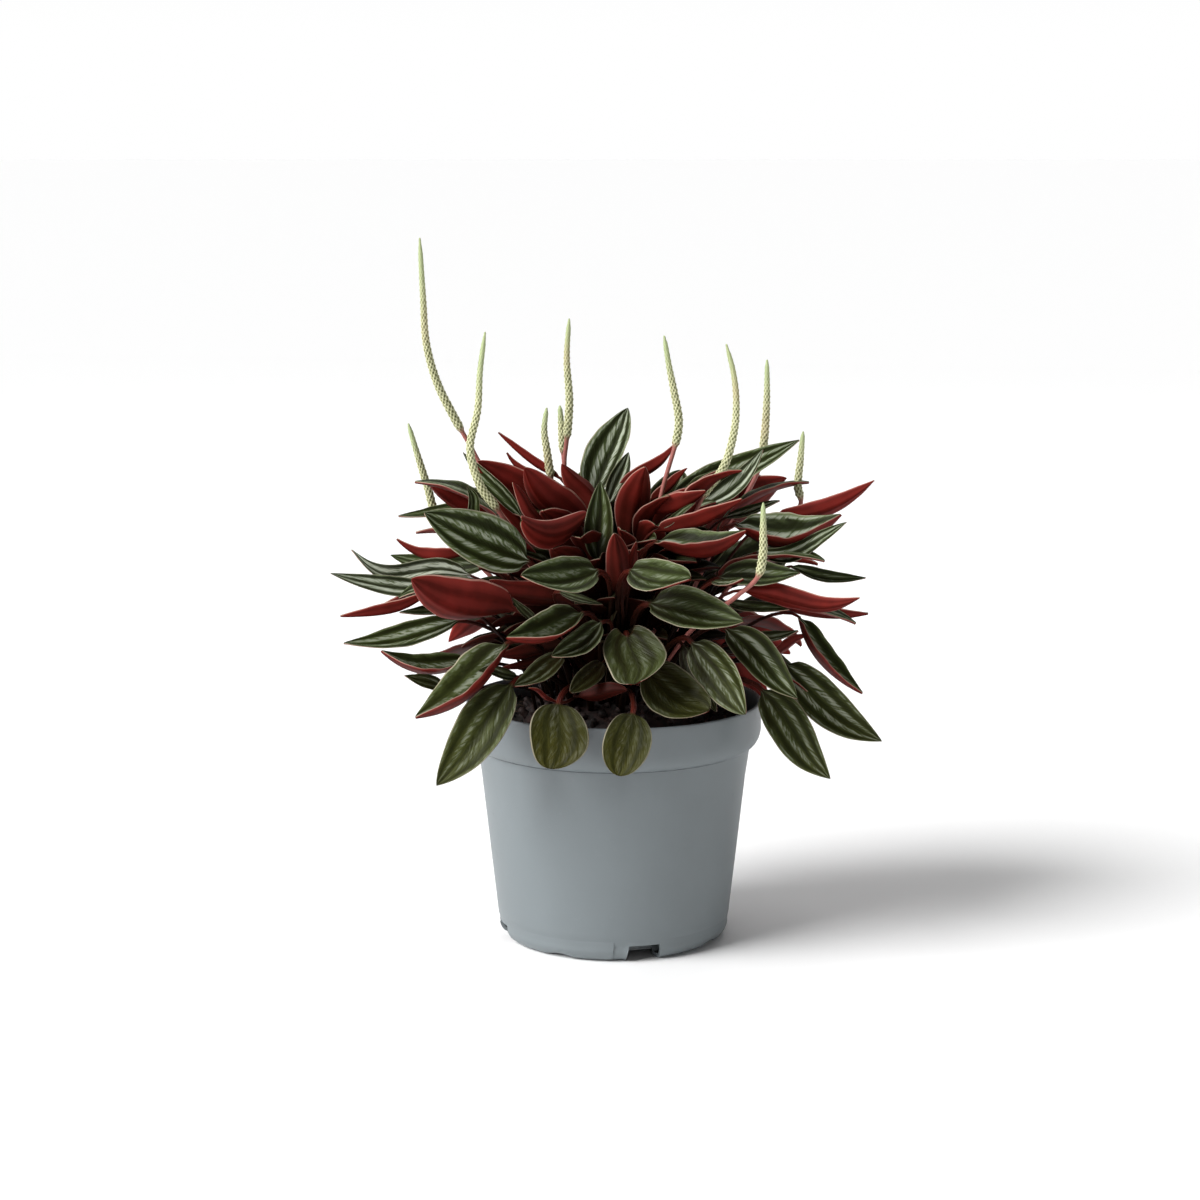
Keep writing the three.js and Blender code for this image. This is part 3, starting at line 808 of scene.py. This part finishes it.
# leaves of the sides and the back: azimuth, distance and height of the blade's base, then the blade's rise,
# length, width and roll
sideRows = [
    [-22, 44, 150, 12, 46, 19, 0], [-6, 48, 134, -4, 50, 20, 10], [10, 42, 164, 28, 44, 18, -10],
    [24, 46, 142, 6, 48, 20, 0], [38, 40, 166, 24, 42, 18, 0], [-14, 40, 118, -20, 44, 19, 0],
    [14, 46, 116, -28, 46, 20, 10], [32, 50, 122, -15, 46, 20, -10], [50, 46, 156, 22, 44, 19, 0],
    [-3, 26, 174, 36, 30, 14, 0], [-38, 36, 172, 42, 36, 17, 0], [158, 44, 150, 14, 46, 19, 0],
    [172, 48, 134, -2, 50, 20, 10], [188, 42, 166, 30, 44, 18, -10], [203, 46, 142, 4, 46, 20, 0],
    [216, 40, 158, 18, 34, 16, 0], [166, 40, 118, -22, 44, 19, 0], [176, 44, 118, -20, 40, 18, 10],
    [150, 50, 124, -12, 46, 20, -10], [140, 42, 160, 22, 44, 19, 0], [180, 26, 174, 36, 26, 14, 0],
]
innerLeaves = 120

# how much silver, partly a painted sheen, some leaves have, where it isn't left to chance, by their row's
# number
silverSheenLeaves = {
    1: 0.85, 2: 0.3, 3: 0.8, 11: 0.55, 13: 1.2, 17: 0.6, 19: 0.3, 22: 0.9, 24: 0.8, 28: 0.1, 29: 0.15,
    30: 0, 31: 0, 32: 0.1, 33: 0.1, 34: 0.5, 35: 0.6, 36: 0.55, 37: 0.7,
}
silverSheenSmall = {1: 0.9, 11: 1.0, 24: 0.7}
swayLeaves = {13: 3.7, 27: 1.6}  # how far some leaves bend to one side and back, in millimetres

# points over the blade and under it, rings along the blade, rings along the stalk
fineDetail = (24, 13, 46, 11)
middleDetail = (18, 9, 34, 8)
coarseDetail = (14, 7, 24, 6)


def leafPaint():
    # upper face: dark sunken veins that run from base to tip, soft green ribs between them with lighter
    # crests that are partly a painted highlight, and silvery strokes that slant forwards off each vein,
    # partly the leaf's own silver and partly a painted sheen; lower face: wine red with darker veins and
    # painted light towards its margins and over its ribs; a thin pale margin, and a red stalk painted darker
    # towards its root as shade; painted shade deep inside the plant. A rib is half a cosine of the distance
    # from the midrib
    paint = newPaint("leafPaint")
    rise, mix = paint.rise, paint.mix
    across, along, face = paint.parts("leafPlace")
    veins, olive, silverAndSheen = paint.parts("leafKind")
    # depth, the third number, is how much painted shade a point gets deep inside the plant
    size, offset, depth = paint.parts("leafSizeAndShade")
    at = paint.place()
    width = paint.maths("ABSOLUTE", across)
    lengthwise = along * size
    streaks = paint.noise(paint.joined(across * 5, lengthwise * 0.11, offset), 1.0, 4, 0.6)
    slanted = paint.joined(lengthwise * 0.26 - width * 6.5, across * 2 + lengthwise * 0.14, offset)
    strokes = paint.noise(slanted, 1.0, 3)
    hatched = paint.joined(lengthwise * 0.6 - width * 10, across * 1.5 + lengthwise * 0.12, offset)
    hatching = paint.noise(hatched, 1.0, 2)
    bent = width + (streaks - 0.5) * 0.16
    ribs = 0.5 - 0.5 * paint.maths("COSINE", bent * veins * (2 * math.pi))
    patch = paint.noise(at, 26, 2)
    broad = paint.noise(at, 70, 3)
    fine = paint.noise(at, 900, 3)
    isUpper = rise(face, -0.3, 0.3)
    veinLine = 1 - rise(ribs, 0.02, 0.3)

    # the green of the ribs, duller where a leaf has no silver, and lighter along their crests, partly their
    # own paler colour and partly a painted highlight; very silvery leaves get a veil of silver, partly a
    # painted sheen
    plain = 1 - rise(silverAndSheen, 0.05, 0.4)
    soft = ribs * (0.5 - 0.3 * olive - 0.2 * plain) + streaks + olive * 0.15 + plain * 0.1
    green = mix(rise(soft, 0.35, 1.05), leaf["furrow"], leaf["green"])
    green = mix(rise(broad, 0.35, 0.7) * 0.35 + plain * 0.3, green, leaf["furrow"])
    lit = rise(ribs * 0.7 + strokes * 0.45 + streaks * 0.35 + (hatching - 0.5) * 0.5, 0.66, 1.25)
    green = mix(lit * (0.2 + 0.8 * silverAndSheen) * (1 - 0.6 * olive), green, leaf["crest"])
    innerLine = rise(width, 0.84, 0.9) * (0.3 + 0.6 * rise(streaks, 0.4, 0.65))
    green = mix(innerLine * 0.6, green, leaf["crest"])
    veil = rise(silverAndSheen, 0.7, 1.4) * rise(streaks + hatching * 0.6, 0.5, 1.0)
    green = mix(veil * 0.3, green, leaf["silverSheen"])

    # the olive of low leaves, the veins, and the silvery strokes over both, partly the leaf's own silver and
    # partly a painted sheen
    yellow = rise(ribs * 0.25 + streaks * 0.8 + along * 0.25, 0.3, 1.05)
    yellow = mix(yellow, leaf["olive"], leaf["oliveCrest"])
    green = mix(olive * (0.8 + 0.2 * rise(along, 0.2, 0.9)), green, yellow)
    green = mix(veinLine * (0.95 - along * 0.4) * (1 - 0.5 * olive), green, leaf["furrow"])
    onRib = rise(ribs + silverAndSheen * 0.2, 0.6, 1.1) * (1 - rise(width, 0.82, 0.93))
    broken = strokes * 0.5 + streaks * 0.45 + hatching * 0.65 + silverAndSheen * 0.12
    shine = rise(broken, 0.78, 0.94) * (1.15 - along * 0.6)
    upper = mix(onRib * shine * (0.15 + 0.9 * silverAndSheen) * (1 - 0.7 * olive), green, leaf["silverSheen"])

    lower = mix(rise(broad, 0.3, 0.7), leaf["underside"], leaf["undersideDark"])
    # painted light towards the margins and over the ribs
    lower = mix(rise(width, 0.35, 1.0) * (0.1 + 0.7 * patch), lower, leaf["undersidePaintedLight"])
    lower = mix(rise(ribs, 0.3, 1.0) * 0.22, lower, leaf["undersidePaintedLight"])
    lower = mix(veinLine * 0.4, lower, leaf["undersideDark"])

    # both faces, the margin, the stalk painted darker towards its root as shade, and painted shade deep
    # inside the plant
    color = mix(isUpper, lower, upper)
    edge = rise(width, 0.935, 0.975)
    rim = mix(isUpper, leaf["redMargin"], leaf["margin"])
    color = mix(edge * (0.4 + 0.5 * rise(broad, 0.3, 0.6)) * (1 - 0.4 * olive), color, rim)
    # painted shade: the stalk darkens towards its root
    stalk = mix(rise(along, -0.6, 0.0), leaf["stalkRootShade"], leaf["stalk"])
    color = mix(1 - rise(along, -0.02, 0.035), color, stalk)
    # painted shade deep inside the plant, where the leaves shade each other
    color = mix(depth * 0.92, color, leaf["deep"])
    roughness = 0.5 - 0.12 * isUpper - 0.1 * ribs * isUpper + 0.1 * streaks
    height = (ribs * 0.6 + 0.5) * (strokes * 0.7 + hatching * 0.3) * isUpper
    sockets = {"Base Color": color, "Roughness": roughness, "Specular IOR Level": 0.08}
    return paint.surface(sockets, [(height, 0.8, 0.0014), (fine, 0.1, 0.0002)])


def chosen(values, amounts):
    # sets some rows' values to given amounts; rows are counted from 1
    for number, amount in (amounts or {}).items():
        values[number - 1] = amount


def spreadOut(parts, shape):
    # three numbers for each point of the leaves
    return np.stack([np.broadcast_to(part, shape) for part in parts], -1)


def leafAxes(base, tip, roll):
    # each leaf's own directions: ahead to its tip, up from its upper face, and to its side
    ahead = unit(tip - base)
    face = unit(np.array([0, 0, 1.0]) - ahead * ahead[:, 2:])
    side = np.cross(ahead, face)
    angle = np.radians(roll)
    rolledFace = face * np.cos(angle) + side * np.sin(angle)
    return ahead, rolledFace, side * np.cos(angle) - face * np.sin(angle)


def leafSection(upperCount, lowerCount):
    # the points round a leaf: how far across the blade, from -1 to 1; whether on its upper face; and at what
    # angle on the round stalk
    spread = np.linspace(-1, 1, upperCount)
    upper = spread * (1.2 - 0.2 * spread ** 2)
    lower = np.cos(np.linspace(0, math.pi, lowerCount + 2))[1:-1]
    turnTop = math.pi * (1 - (spread + 1) / 2)
    turnUnder = -math.pi * (np.arange(1, lowerCount + 1) / (lowerCount + 1))
    isUpper = np.arange(upperCount + lowerCount) < upperCount
    return np.concatenate([upper, lower]), isUpper, np.concatenate([turnTop, turnUnder])


def bladeOutline(t, roundness):
    # a power of the way from the base times a power of the way to the tip, 1 where the blade is widest
    a, b = 0.62 - 0.2 * roundness, 0.92 - 0.54 * roundness
    widest = a / (a + b)
    return t ** a * (1 - t) ** b / (widest ** a * (1 - widest) ** b)


def bladeLift(t, v, isUpper, sizes, veins, phase):
    # how high the skin is off the midrib's plane: the cup, a power of the distance across; the waves of the
    # margins; half the thickness; and on it ribs and ripples above, and the midrib underneath
    length, width, cup, roundness, outline = sizes
    ribs = 0.5 - 0.5 * np.cos(2 * math.pi * veins * abs(v))
    fade = np.sqrt(4 * t * (1 - t)) * (1 - abs(v) ** 6)
    relief = leaf["ribDepth"] * (1 - 0.55 * roundness) * width / 20 * (ribs - 0.5) * fade
    rippled = np.sin(2 * math.pi * (length / leaf["rippleLength"]) * t + 7 * abs(v) + phase[0])
    ripple = leaf["rippleDepth"] * ribs * fade * rippled
    half = 2 * (v > 0)  # the two halves of a blade wave out of step
    swing = np.sin(2 * math.pi * (1.7 * t) + phase[1] + half)
    swing = swing + 0.5 * np.sin(2 * math.pi * (4.1 * t) + phase[2] - half)
    wave = leaf["waviness"] * (1 - 0.6 * roundness) * width * abs(v) ** 2.2 * swing
    fold = cup * width * outline * abs(v) ** (1.7 - 1.6 * np.clip(cup - 0.1, 0, 0.3))
    thick = leaf["thickness"] / 2 * np.sqrt(np.maximum(0, 1 - v ** 8))
    midrib = leaf["midrib"] * np.exp(-(v / leaf["midribWidth"]) ** 2)
    skin = np.where(isUpper, thick + relief + ripple, 0.35 * relief - thick - midrib)
    return fold + wave * outline + skin


def leafStalks(base, axes, turn, radius, rings):
    # each stalk runs along a Bezier curve from the crown to its blade, and its section is carried back from
    # the blade without a twist. Returns the path, the skin and the share of the way, -1 at the root
    ahead, face, side = axes
    root = base * [leaf["rootReach"], leaf["rootReach"], 0]
    root[:, 2] = crownTop(np.maximum(0, np.hypot(root[:, 0], root[:, 1]) - 1.2)) - leaf["rootSink"]
    far = np.linalg.norm(base - root, axis=-1, keepdims=True)
    climb = root + (base - root) * 0.1 + [0, 0, 1] * far * leaf["stalkClimb"]
    arrive = base - ahead * far * leaf["stalkArrival"] - face * far * leaf["stalkSag"]
    u = np.linspace(0, 1, rings + 1)[None, :-1, None]
    path, heading = bezier([corner[:, None] for corner in (root, climb, arrive, base)], u)
    across = np.empty_like(path)
    for ring in range(rings - 1, -1, -1):
        side = unit(side - heading[:, ring] * dot(side, heading[:, ring]))
        across[:, ring] = side
    over = np.cross(across, heading)
    swell = (1 + leaf["stalkSwell"] * (1 - u) ** 6)[..., None]
    return path, path[:, :, None] + spokes(across, over, turn) * radius[..., None] * swell, u - 1


def innerShadeAmount(points):
    # how much painted shade a point gets: 1 in the middle of the plant, and 0 near its outside
    x, y, z = (points[..., k] for k in range(3))
    level = (x ** 2 + y ** 2) / leaf["outsideRadius"] ** 2
    upright = (z - leaf["middleHeight"]) / leaf["outsideHeight"]
    return 1 - smoothstep(0.42, 0.95, np.sqrt(level + upright ** 2))


def leafForms(rows, seed, detail, sheened=None, swayed=None):
    # many leaves at once, with t from 0 to 1 along a blade and v from -1 to 1 across it. A blade follows an
    # arch over the straight line from base to tip, is twisted a little, and closes into its stalk near the
    # base. Returns the fields, the points (leaf, ring, around, 3) and each leaf's two poles.
    count = len(rows)
    base, tip = (np.array([row[k] for row in rows], dtype=float) for k in (0, 1))
    numbers = [np.array([row[k] for row in rows], dtype=float)[:, None, None] for k in range(2, 8)]
    width, roll, bow, sweep, cup, roundness = numbers
    upperCount, lowerCount, bladeRings, stalkRings = detail
    v, isUpper, turn = leafSection(upperCount, lowerCount)
    s = np.linspace(0, 1, bladeRings)
    t = (0.004 + 0.992 * (0.55 * s + 0.45 * (0.5 - 0.5 * np.cos(math.pi * s))))[None, :, None]
    height = (base[:, 2] + tip[:, 2]) / 2

    draw = np.random.default_rng(seed)
    # high leaves get more silver, a painted sheen that stands in for the stronger light on top
    silverSheen = draw.uniform(0.1, 0.5, count) + 0.2 * smoothstep(*leaf["topSheenFrom"], height)
    chosen(silverSheen, sheened)
    sway = draw.normal(0, 0.5, (count, 1, 1))
    chosen(sway, swayed)
    phase = draw.uniform(0, 2 * math.pi, (4, count, 1, 1))  # one is spare
    twist = np.radians(draw.normal(0, leaf["twist"], (count, 1, 1))) * (t - 0.4)
    veins = 1.15 + 0.35 * roundness + width / 50 + draw.normal(0, 0.08, (count, 1, 1))
    olive = smoothstep(*leaf["oliveFrom"], height)[:, None, None] + draw.normal(0, 0.07, (count, 1, 1))
    olive = np.clip(olive * (0.6 + 0.5 * roundness), 0, 1)

    length = np.linalg.norm(tip - base, axis=-1)[:, None, None]
    axes = leafAxes(base, tip, roll[:, 0])
    ahead, face, side = (axis[:, None] for axis in axes)
    arch = 4 * t * (1 - t)
    slope = bow * 4 * (1 - 2 * t) / length
    normal = unit(face - ahead * slope)
    turnedSide = side * np.cos(twist) + normal * np.sin(twist)
    turnedNormal = normal * np.cos(twist) - side * np.sin(twist)
    sideways = sweep * arch + sway * np.sin(2 * math.pi * t)
    middle = base[:, None] + ahead * t * length + face * bow * arch + side * sideways

    outline = bladeOutline(t, roundness)
    reach = width / 2 * outline * v
    lift = bladeLift(t, v, isUpper, (length, width, cup, roundness, outline), veins, phase)
    radius = leaf["stalkRadius"] * np.clip(width / 16, 0.6, 1.1)
    opening = smoothstep(0.0, 1.0, t / (0.085 - 0.13 * np.maximum(0, roundness - 0.5)))
    flatX = np.cos(turn) * radius * (1 - opening) + reach * opening
    flatZ = np.sin(turn) * radius * (1 - opening) + lift * opening
    lobe = -1.2 * np.maximum(0, roundness - 0.8) * width * np.exp(-t / 0.35) * abs(v) ** 1.6
    blade = middle[:, :, None] + turnedSide[:, :, None] * flatX[..., None]
    blade = blade + turnedNormal[:, :, None] * flatZ[..., None]
    blade = blade + ahead[:, None] * (lobe * opening)[..., None]  # round blades reach back beside the stalk

    path, stalk, stalkAlong = leafStalks(base, axes, turn, radius, stalkRings)
    points = np.concatenate([stalk, blade], 1)
    shape = points.shape[:3]
    alongs = [np.broadcast_to(part, (count, part.size, 1)) for part in (stalkAlong, t)]
    whichFace = np.where(isUpper, np.where(abs(v) > 0.999, 0, 1), -1)
    offset = 7.3 * np.arange(count)[:, None, None]  # sets the pattern of each leaf apart
    fields = {
        "leafPlace": spreadOut((v, np.concatenate(alongs, 1), whichFace), shape),
        "leafKind": spreadOut((veins, olive, silverSheen[:, None, None]), shape),
        # the third number of the size field is the painted shade deep inside the plant
        "leafSizeAndShade": spreadOut((length, offset, innerShadeAmount(points)), shape),
    }
    return fields, points, np.stack([path[:, 0], tip], 1)


def addLeaves(name, forms, material, nodes=()):
    # one piece from some leaves; each is a closed skin of rings with a pole at either end
    values, points, poles = forms
    count, rings, around = points.shape[:3]
    size = rings * around
    skin = np.concatenate([points.reshape(count, size, 3), poles], 1)
    fields = {}
    for key, field in values.items():
        field = field.reshape(count, size, 3)
        fields[key] = np.concatenate([field, field[:, :1], field[:, -around // 2:][:, :1]], 1)
    addPiece(name, skin, copiedFaces(rings, around, count), material, nodes, fields)


def turnedRow(row):
    # the same leaf half way round the pot
    (baseX, baseY, baseZ), (tipX, tipY, tipZ), *rest = row
    return [[-baseX, -baseY, baseZ], [-tipX, -tipY, tipZ], *rest]


def polarRow(azimuth, distance, height, rise, length, width, roll, bow=5, cup=0.15, roundness=0.15,
             frontLimit=99):
    # a leaf that points straight out from the pot's axis; frontLimit is how far towards -Y its tip may reach
    turn, lift = math.radians(azimuth), math.radians(rise)
    forwards = max(-math.sin(turn), 0.01)
    out = min(length * math.cos(lift), frontLimit / forwards - distance)
    base = [distance * math.cos(turn), distance * math.sin(turn), height]
    tip = [base[0] + out * math.cos(turn), base[1] + out * math.sin(turn), height + length * math.sin(lift)]
    return [base, tip, width, roll, bow, 0, cup, roundness]


def innerRow(number):
    # short leaves that fill the middle, spaced by the golden angle
    def part(step, start):
        return (number * step + start) % 1  # evenly spread between 0 and 1
    azimuth = 137.508 * number + 20
    high = part(0.37, 0.1)
    distance = 10 + 26 * math.sqrt(part(0.618, 0))
    height = 108 + 58 * high
    rise = -6 + 30 * part(0.29, 0.3) + 34 * high
    length = 22 + 12 * part(0.53, 0)
    width = 10 + 6 * part(0.71, 0.2)
    roll = 40 * math.sin(2.1 * number)
    return polarRow(azimuth, distance, height, rise, length, width, roll, 3, 0.28, 0.2, frontLimit=43)


def makeLeaves():
    # the leaves that the part has are a piece each; the small, back, side and inner ones are one piece a kind
    backRows = [turnedRow(leafRows[number - 1]) for number in backLeaves]
    others = [row for number, row in enumerate(leafRows, 1) if number not in backLeaves]
    moreBack = [turnedRow(row) for row in others + smallRows if row[0][1] < -30 and row[1][2] < 190]
    sides = [polarRow(*row) for row in sideRows]
    inner = [innerRow(number) for number in range(innerLeaves)]
    nodeRows = leafRows + backRows
    paint = leafPaint()
    fields, points, poles = leafForms(nodeRows, 4, fineDetail, silverSheenLeaves, swayLeaves)
    for number in range(len(nodeRows)):
        one = slice(number, number + 1)
        forms = {key: field[one] for key, field in fields.items()}, points[one], poles[one]
        addLeaves(f"leafBlade{number + 1:02d}", forms, paint, [f"leaf_{number + 1:02d}"])
    addLeaves("smallLeaves", leafForms(smallRows, 5, fineDetail, silverSheenSmall), paint)
    addLeaves("backLeaves", leafForms(moreBack, 6, middleDetail), paint)
    addLeaves("sideLeaves", leafForms(sides, 7, middleDetail), paint)
    addLeaves("innerLeaves", leafForms(inner, 8, coarseDetail), paint)
    print("leaves:", len(nodeRows + smallRows + moreBack + sides + inner))


makeLeaves()


# ---- flower spikes

spike = {
    "rootReach": 0.27,  # its root is this part of its first point's distance from the axis
    "rise": 6.0,  # how far the middle of its stalk is above the straight line
    "radius": 1.65,
    "topRadius": 0.85,
    "stalkRadius": 0.9,
    "tipRadius": 0.5,  # as a share of the radius there
    "beadsAround": 6,
    "beadLength": 1.2,  # from one row of beads to the next
    "beadDepth": 0.34,  # as a share of the radius
    "stalkStep": 2.0,  # between rings of the mesh
    "beadStep": 0.26,
    "around": 32,
    "bead": (0.60, 0.60, 0.36),
    "gap": (0.13, 0.14, 0.04),
    "blush": (0.52, 0.34, 0.20),
    "tip": (0.37, 0.45, 0.22),
    "stalk": (0.36, 0.115, 0.095),
}

# points from where each spike leaves the leaves up to its tip, and the height at which its beads start
spikeRows = [
    ([[-56, 5, 197], [-64, 3, 212], [-70.5, 0, 226], [-74.5, -4, 242], [-75.5, -7, 261],
      [-76.5, -8, 284]], 207),
    ([[-45, -33, 179], [-52, -35, 189], [-56, -36, 204], [-53, -35, 219], [-52, -34, 234],
      [-50, -33, 249]], 180),
    ([[-20, 14, 190], [-19, 13, 203], [-18, 12, 218], [-19, 12, 235], [-18, 12, 251]], 203),
    ([[-25, 4, 186], [-27, 3, 199], [-28, 3, 207], [-27, 3, 216]], 188),
    ([[-20, 22, 189], [-21, 22, 201], [-22, 23, 215]], 196),
    ([[20, 1, 185], [25, 1, 203], [26, 1, 211], [24, 1, 223], [22, 1, 233], [20, 1, 245]], 201),
    ([[35, -24, 184], [43, -22, 195], [47, -20, 208], [48, -19, 219], [47, -18, 231], [44, -17, 243]], 184),
    ([[60, 30, 188], [62, 30, 200], [63, 31, 217], [63, 32, 233]], 194),
    ([[-71, 14, 168], [-76, 12, 184], [-80, 10, 198], [-83, 9, 209]], 172),
    ([[47, -49, 148], [55, -52, 156], [57, -53, 165], [57, -53, 175], [57, -52, 185]], 157),
    ([[76, 14, 175], [75, 14, 183], [76, 15, 194], [77, 16, 205]], 178),
]


def smoothPath(points, stepsBetween=40):
    # a centripetal Catmull-Rom curve through the points, with the distance run at each place
    points = np.array(points, dtype=float)
    knots = np.concatenate([[2 * points[0] - points[1]], points, [2 * points[-1] - points[-2]]])
    gaps = np.sqrt(np.linalg.norm(np.diff(knots, axis=0), axis=-1))
    pieces = []
    for k in range(len(points) - 1):
        p0, p1, p2, p3 = knots[k:k + 4]
        d0, d1, d2 = gaps[k:k + 3]
        m1 = ((p1 - p0) / d0 - (p2 - p0) / (d0 + d1) + (p2 - p1) / d1) * d1
        m2 = ((p2 - p1) / d1 - (p3 - p1) / (d1 + d2) + (p3 - p2) / d2) * d1
        t = np.linspace(0, 1, stepsBetween, endpoint=False)[:, None]
        pieces.append((2 * t ** 3 - 3 * t ** 2 + 1) * p1 + (t ** 3 - 2 * t ** 2 + t) * m1
                      + (3 * t ** 2 - 2 * t ** 3) * p2 + (t ** 3 - t ** 2) * m2)
    fine = np.concatenate([*pieces, points[-1:]])
    return fine, np.concatenate([[0], np.cumsum(np.linalg.norm(np.diff(fine, axis=0), axis=-1))])


def spikePaint():
    # pale beads with dark gaps between them, a blush here and there, a smoother green tip, and a red stalk
    paint = newPaint("spikePaint")
    bead, along, beaded = paint.parts("spikePlace")
    at = paint.place()
    mottle = paint.noise(at, 500, 3)
    fine = paint.noise(at, 2600, 2)
    color = paint.mix(paint.rise(bead + mottle * 0.5, 0.42, 0.9), spike["gap"], spike["bead"])
    color = paint.mix(paint.rise(paint.noise(at, 24, 1), 0.5, 0.68) * 0.5, color, spike["blush"])
    color = paint.mix(paint.rise(along, 0.55, 0.95) * 0.85, color, spike["tip"])
    color = paint.mix(beaded, spike["stalk"], color)
    return paint.surface({"Base Color": color, "Roughness": 0.62}, [(fine, 0.35, 0.0002)])


def makeSpike(number, points, beadStart, material):
    # a tube whose radius swells over each bead: round it and along it the beads are a product of two cosines,
    # so that every row sits between the beads of the next
    root = np.array(points[0], dtype=float) * [spike["rootReach"], spike["rootReach"], 0]
    root[2] = crownTop(max(0, math.hypot(root[0], root[1]) - 1.7)) - leaf["rootSink"]
    middle = (root + points[0]) / 2 + [0, 0, spike["rise"]]
    fine, run = smoothPath([root, middle, *points])
    beginning = run[np.argmax(fine[:, 2] >= beadStart)]
    length = run[-1]
    onStalk = np.arange(0, beginning - 2, spike["stalkStep"])
    place = np.concatenate([onStalk, np.arange(beginning - 1.6, length, spike["beadStep"])])
    path = np.stack([np.interp(place, run, fine[:, k]) for k in range(3)], -1)
    along = np.clip((place - beginning) / (length - beginning), 0, 1)
    beaded = smoothstep(-1.5, 2.0, place - beginning)
    taper = spike["radius"] + (spike["topRadius"] - spike["radius"]) * along ** 1.6
    radius = spike["stalkRadius"] + (taper - spike["stalkRadius"]) * beaded
    radius = radius * (1 - (1 - spike["tipRadius"]) * smoothstep(0.88, 1, along) ** 2)

    around, rings = spike["around"], len(path)
    angles = ringAngles(around)
    rows = place[:, None] / spike["beadLength"]
    lattice = 0.5 + 0.5 * np.cos(spike["beadsAround"] * angles) * np.cos(math.pi * rows)
    strength = spike["beadDepth"] * (beaded * (1 - 0.8 * smoothstep(0.5, 0.95, along)))[:, None]
    skinRadius = radius[:, None] * (1 + strength * (lattice - 0.5))

    heading = unit(np.gradient(path, axis=0))
    side = unit(np.cross(heading, [0, 1, 0]))
    top = np.cross(side, heading)
    skin = path[:, None] + spokes(side, top, angles) * skinRadius[..., None]
    tipPoint = path[-1] + heading[-1] * 0.5
    points = np.concatenate([skin.reshape(-1, 3), path[:1], tipPoint[None]])
    values = spreadOut((lattice, along[:, None], beaded[:, None]), (rings, around)).reshape(-1, 3)
    fields = {"spikePlace": np.concatenate([values, values[:1], values[-1:]])}
    faces = copiedFaces(rings, around, 1)
    node = f"flower_spike_{number:02d}"
    addPiece(f"flowerSpike{number:02d}", points, faces, material, [node], fields)


spikeMaterial = spikePaint()
for number, (points, beadStart) in enumerate(spikeRows, 1):
    makeSpike(number, points, beadStart, spikeMaterial)
print("spikes made")
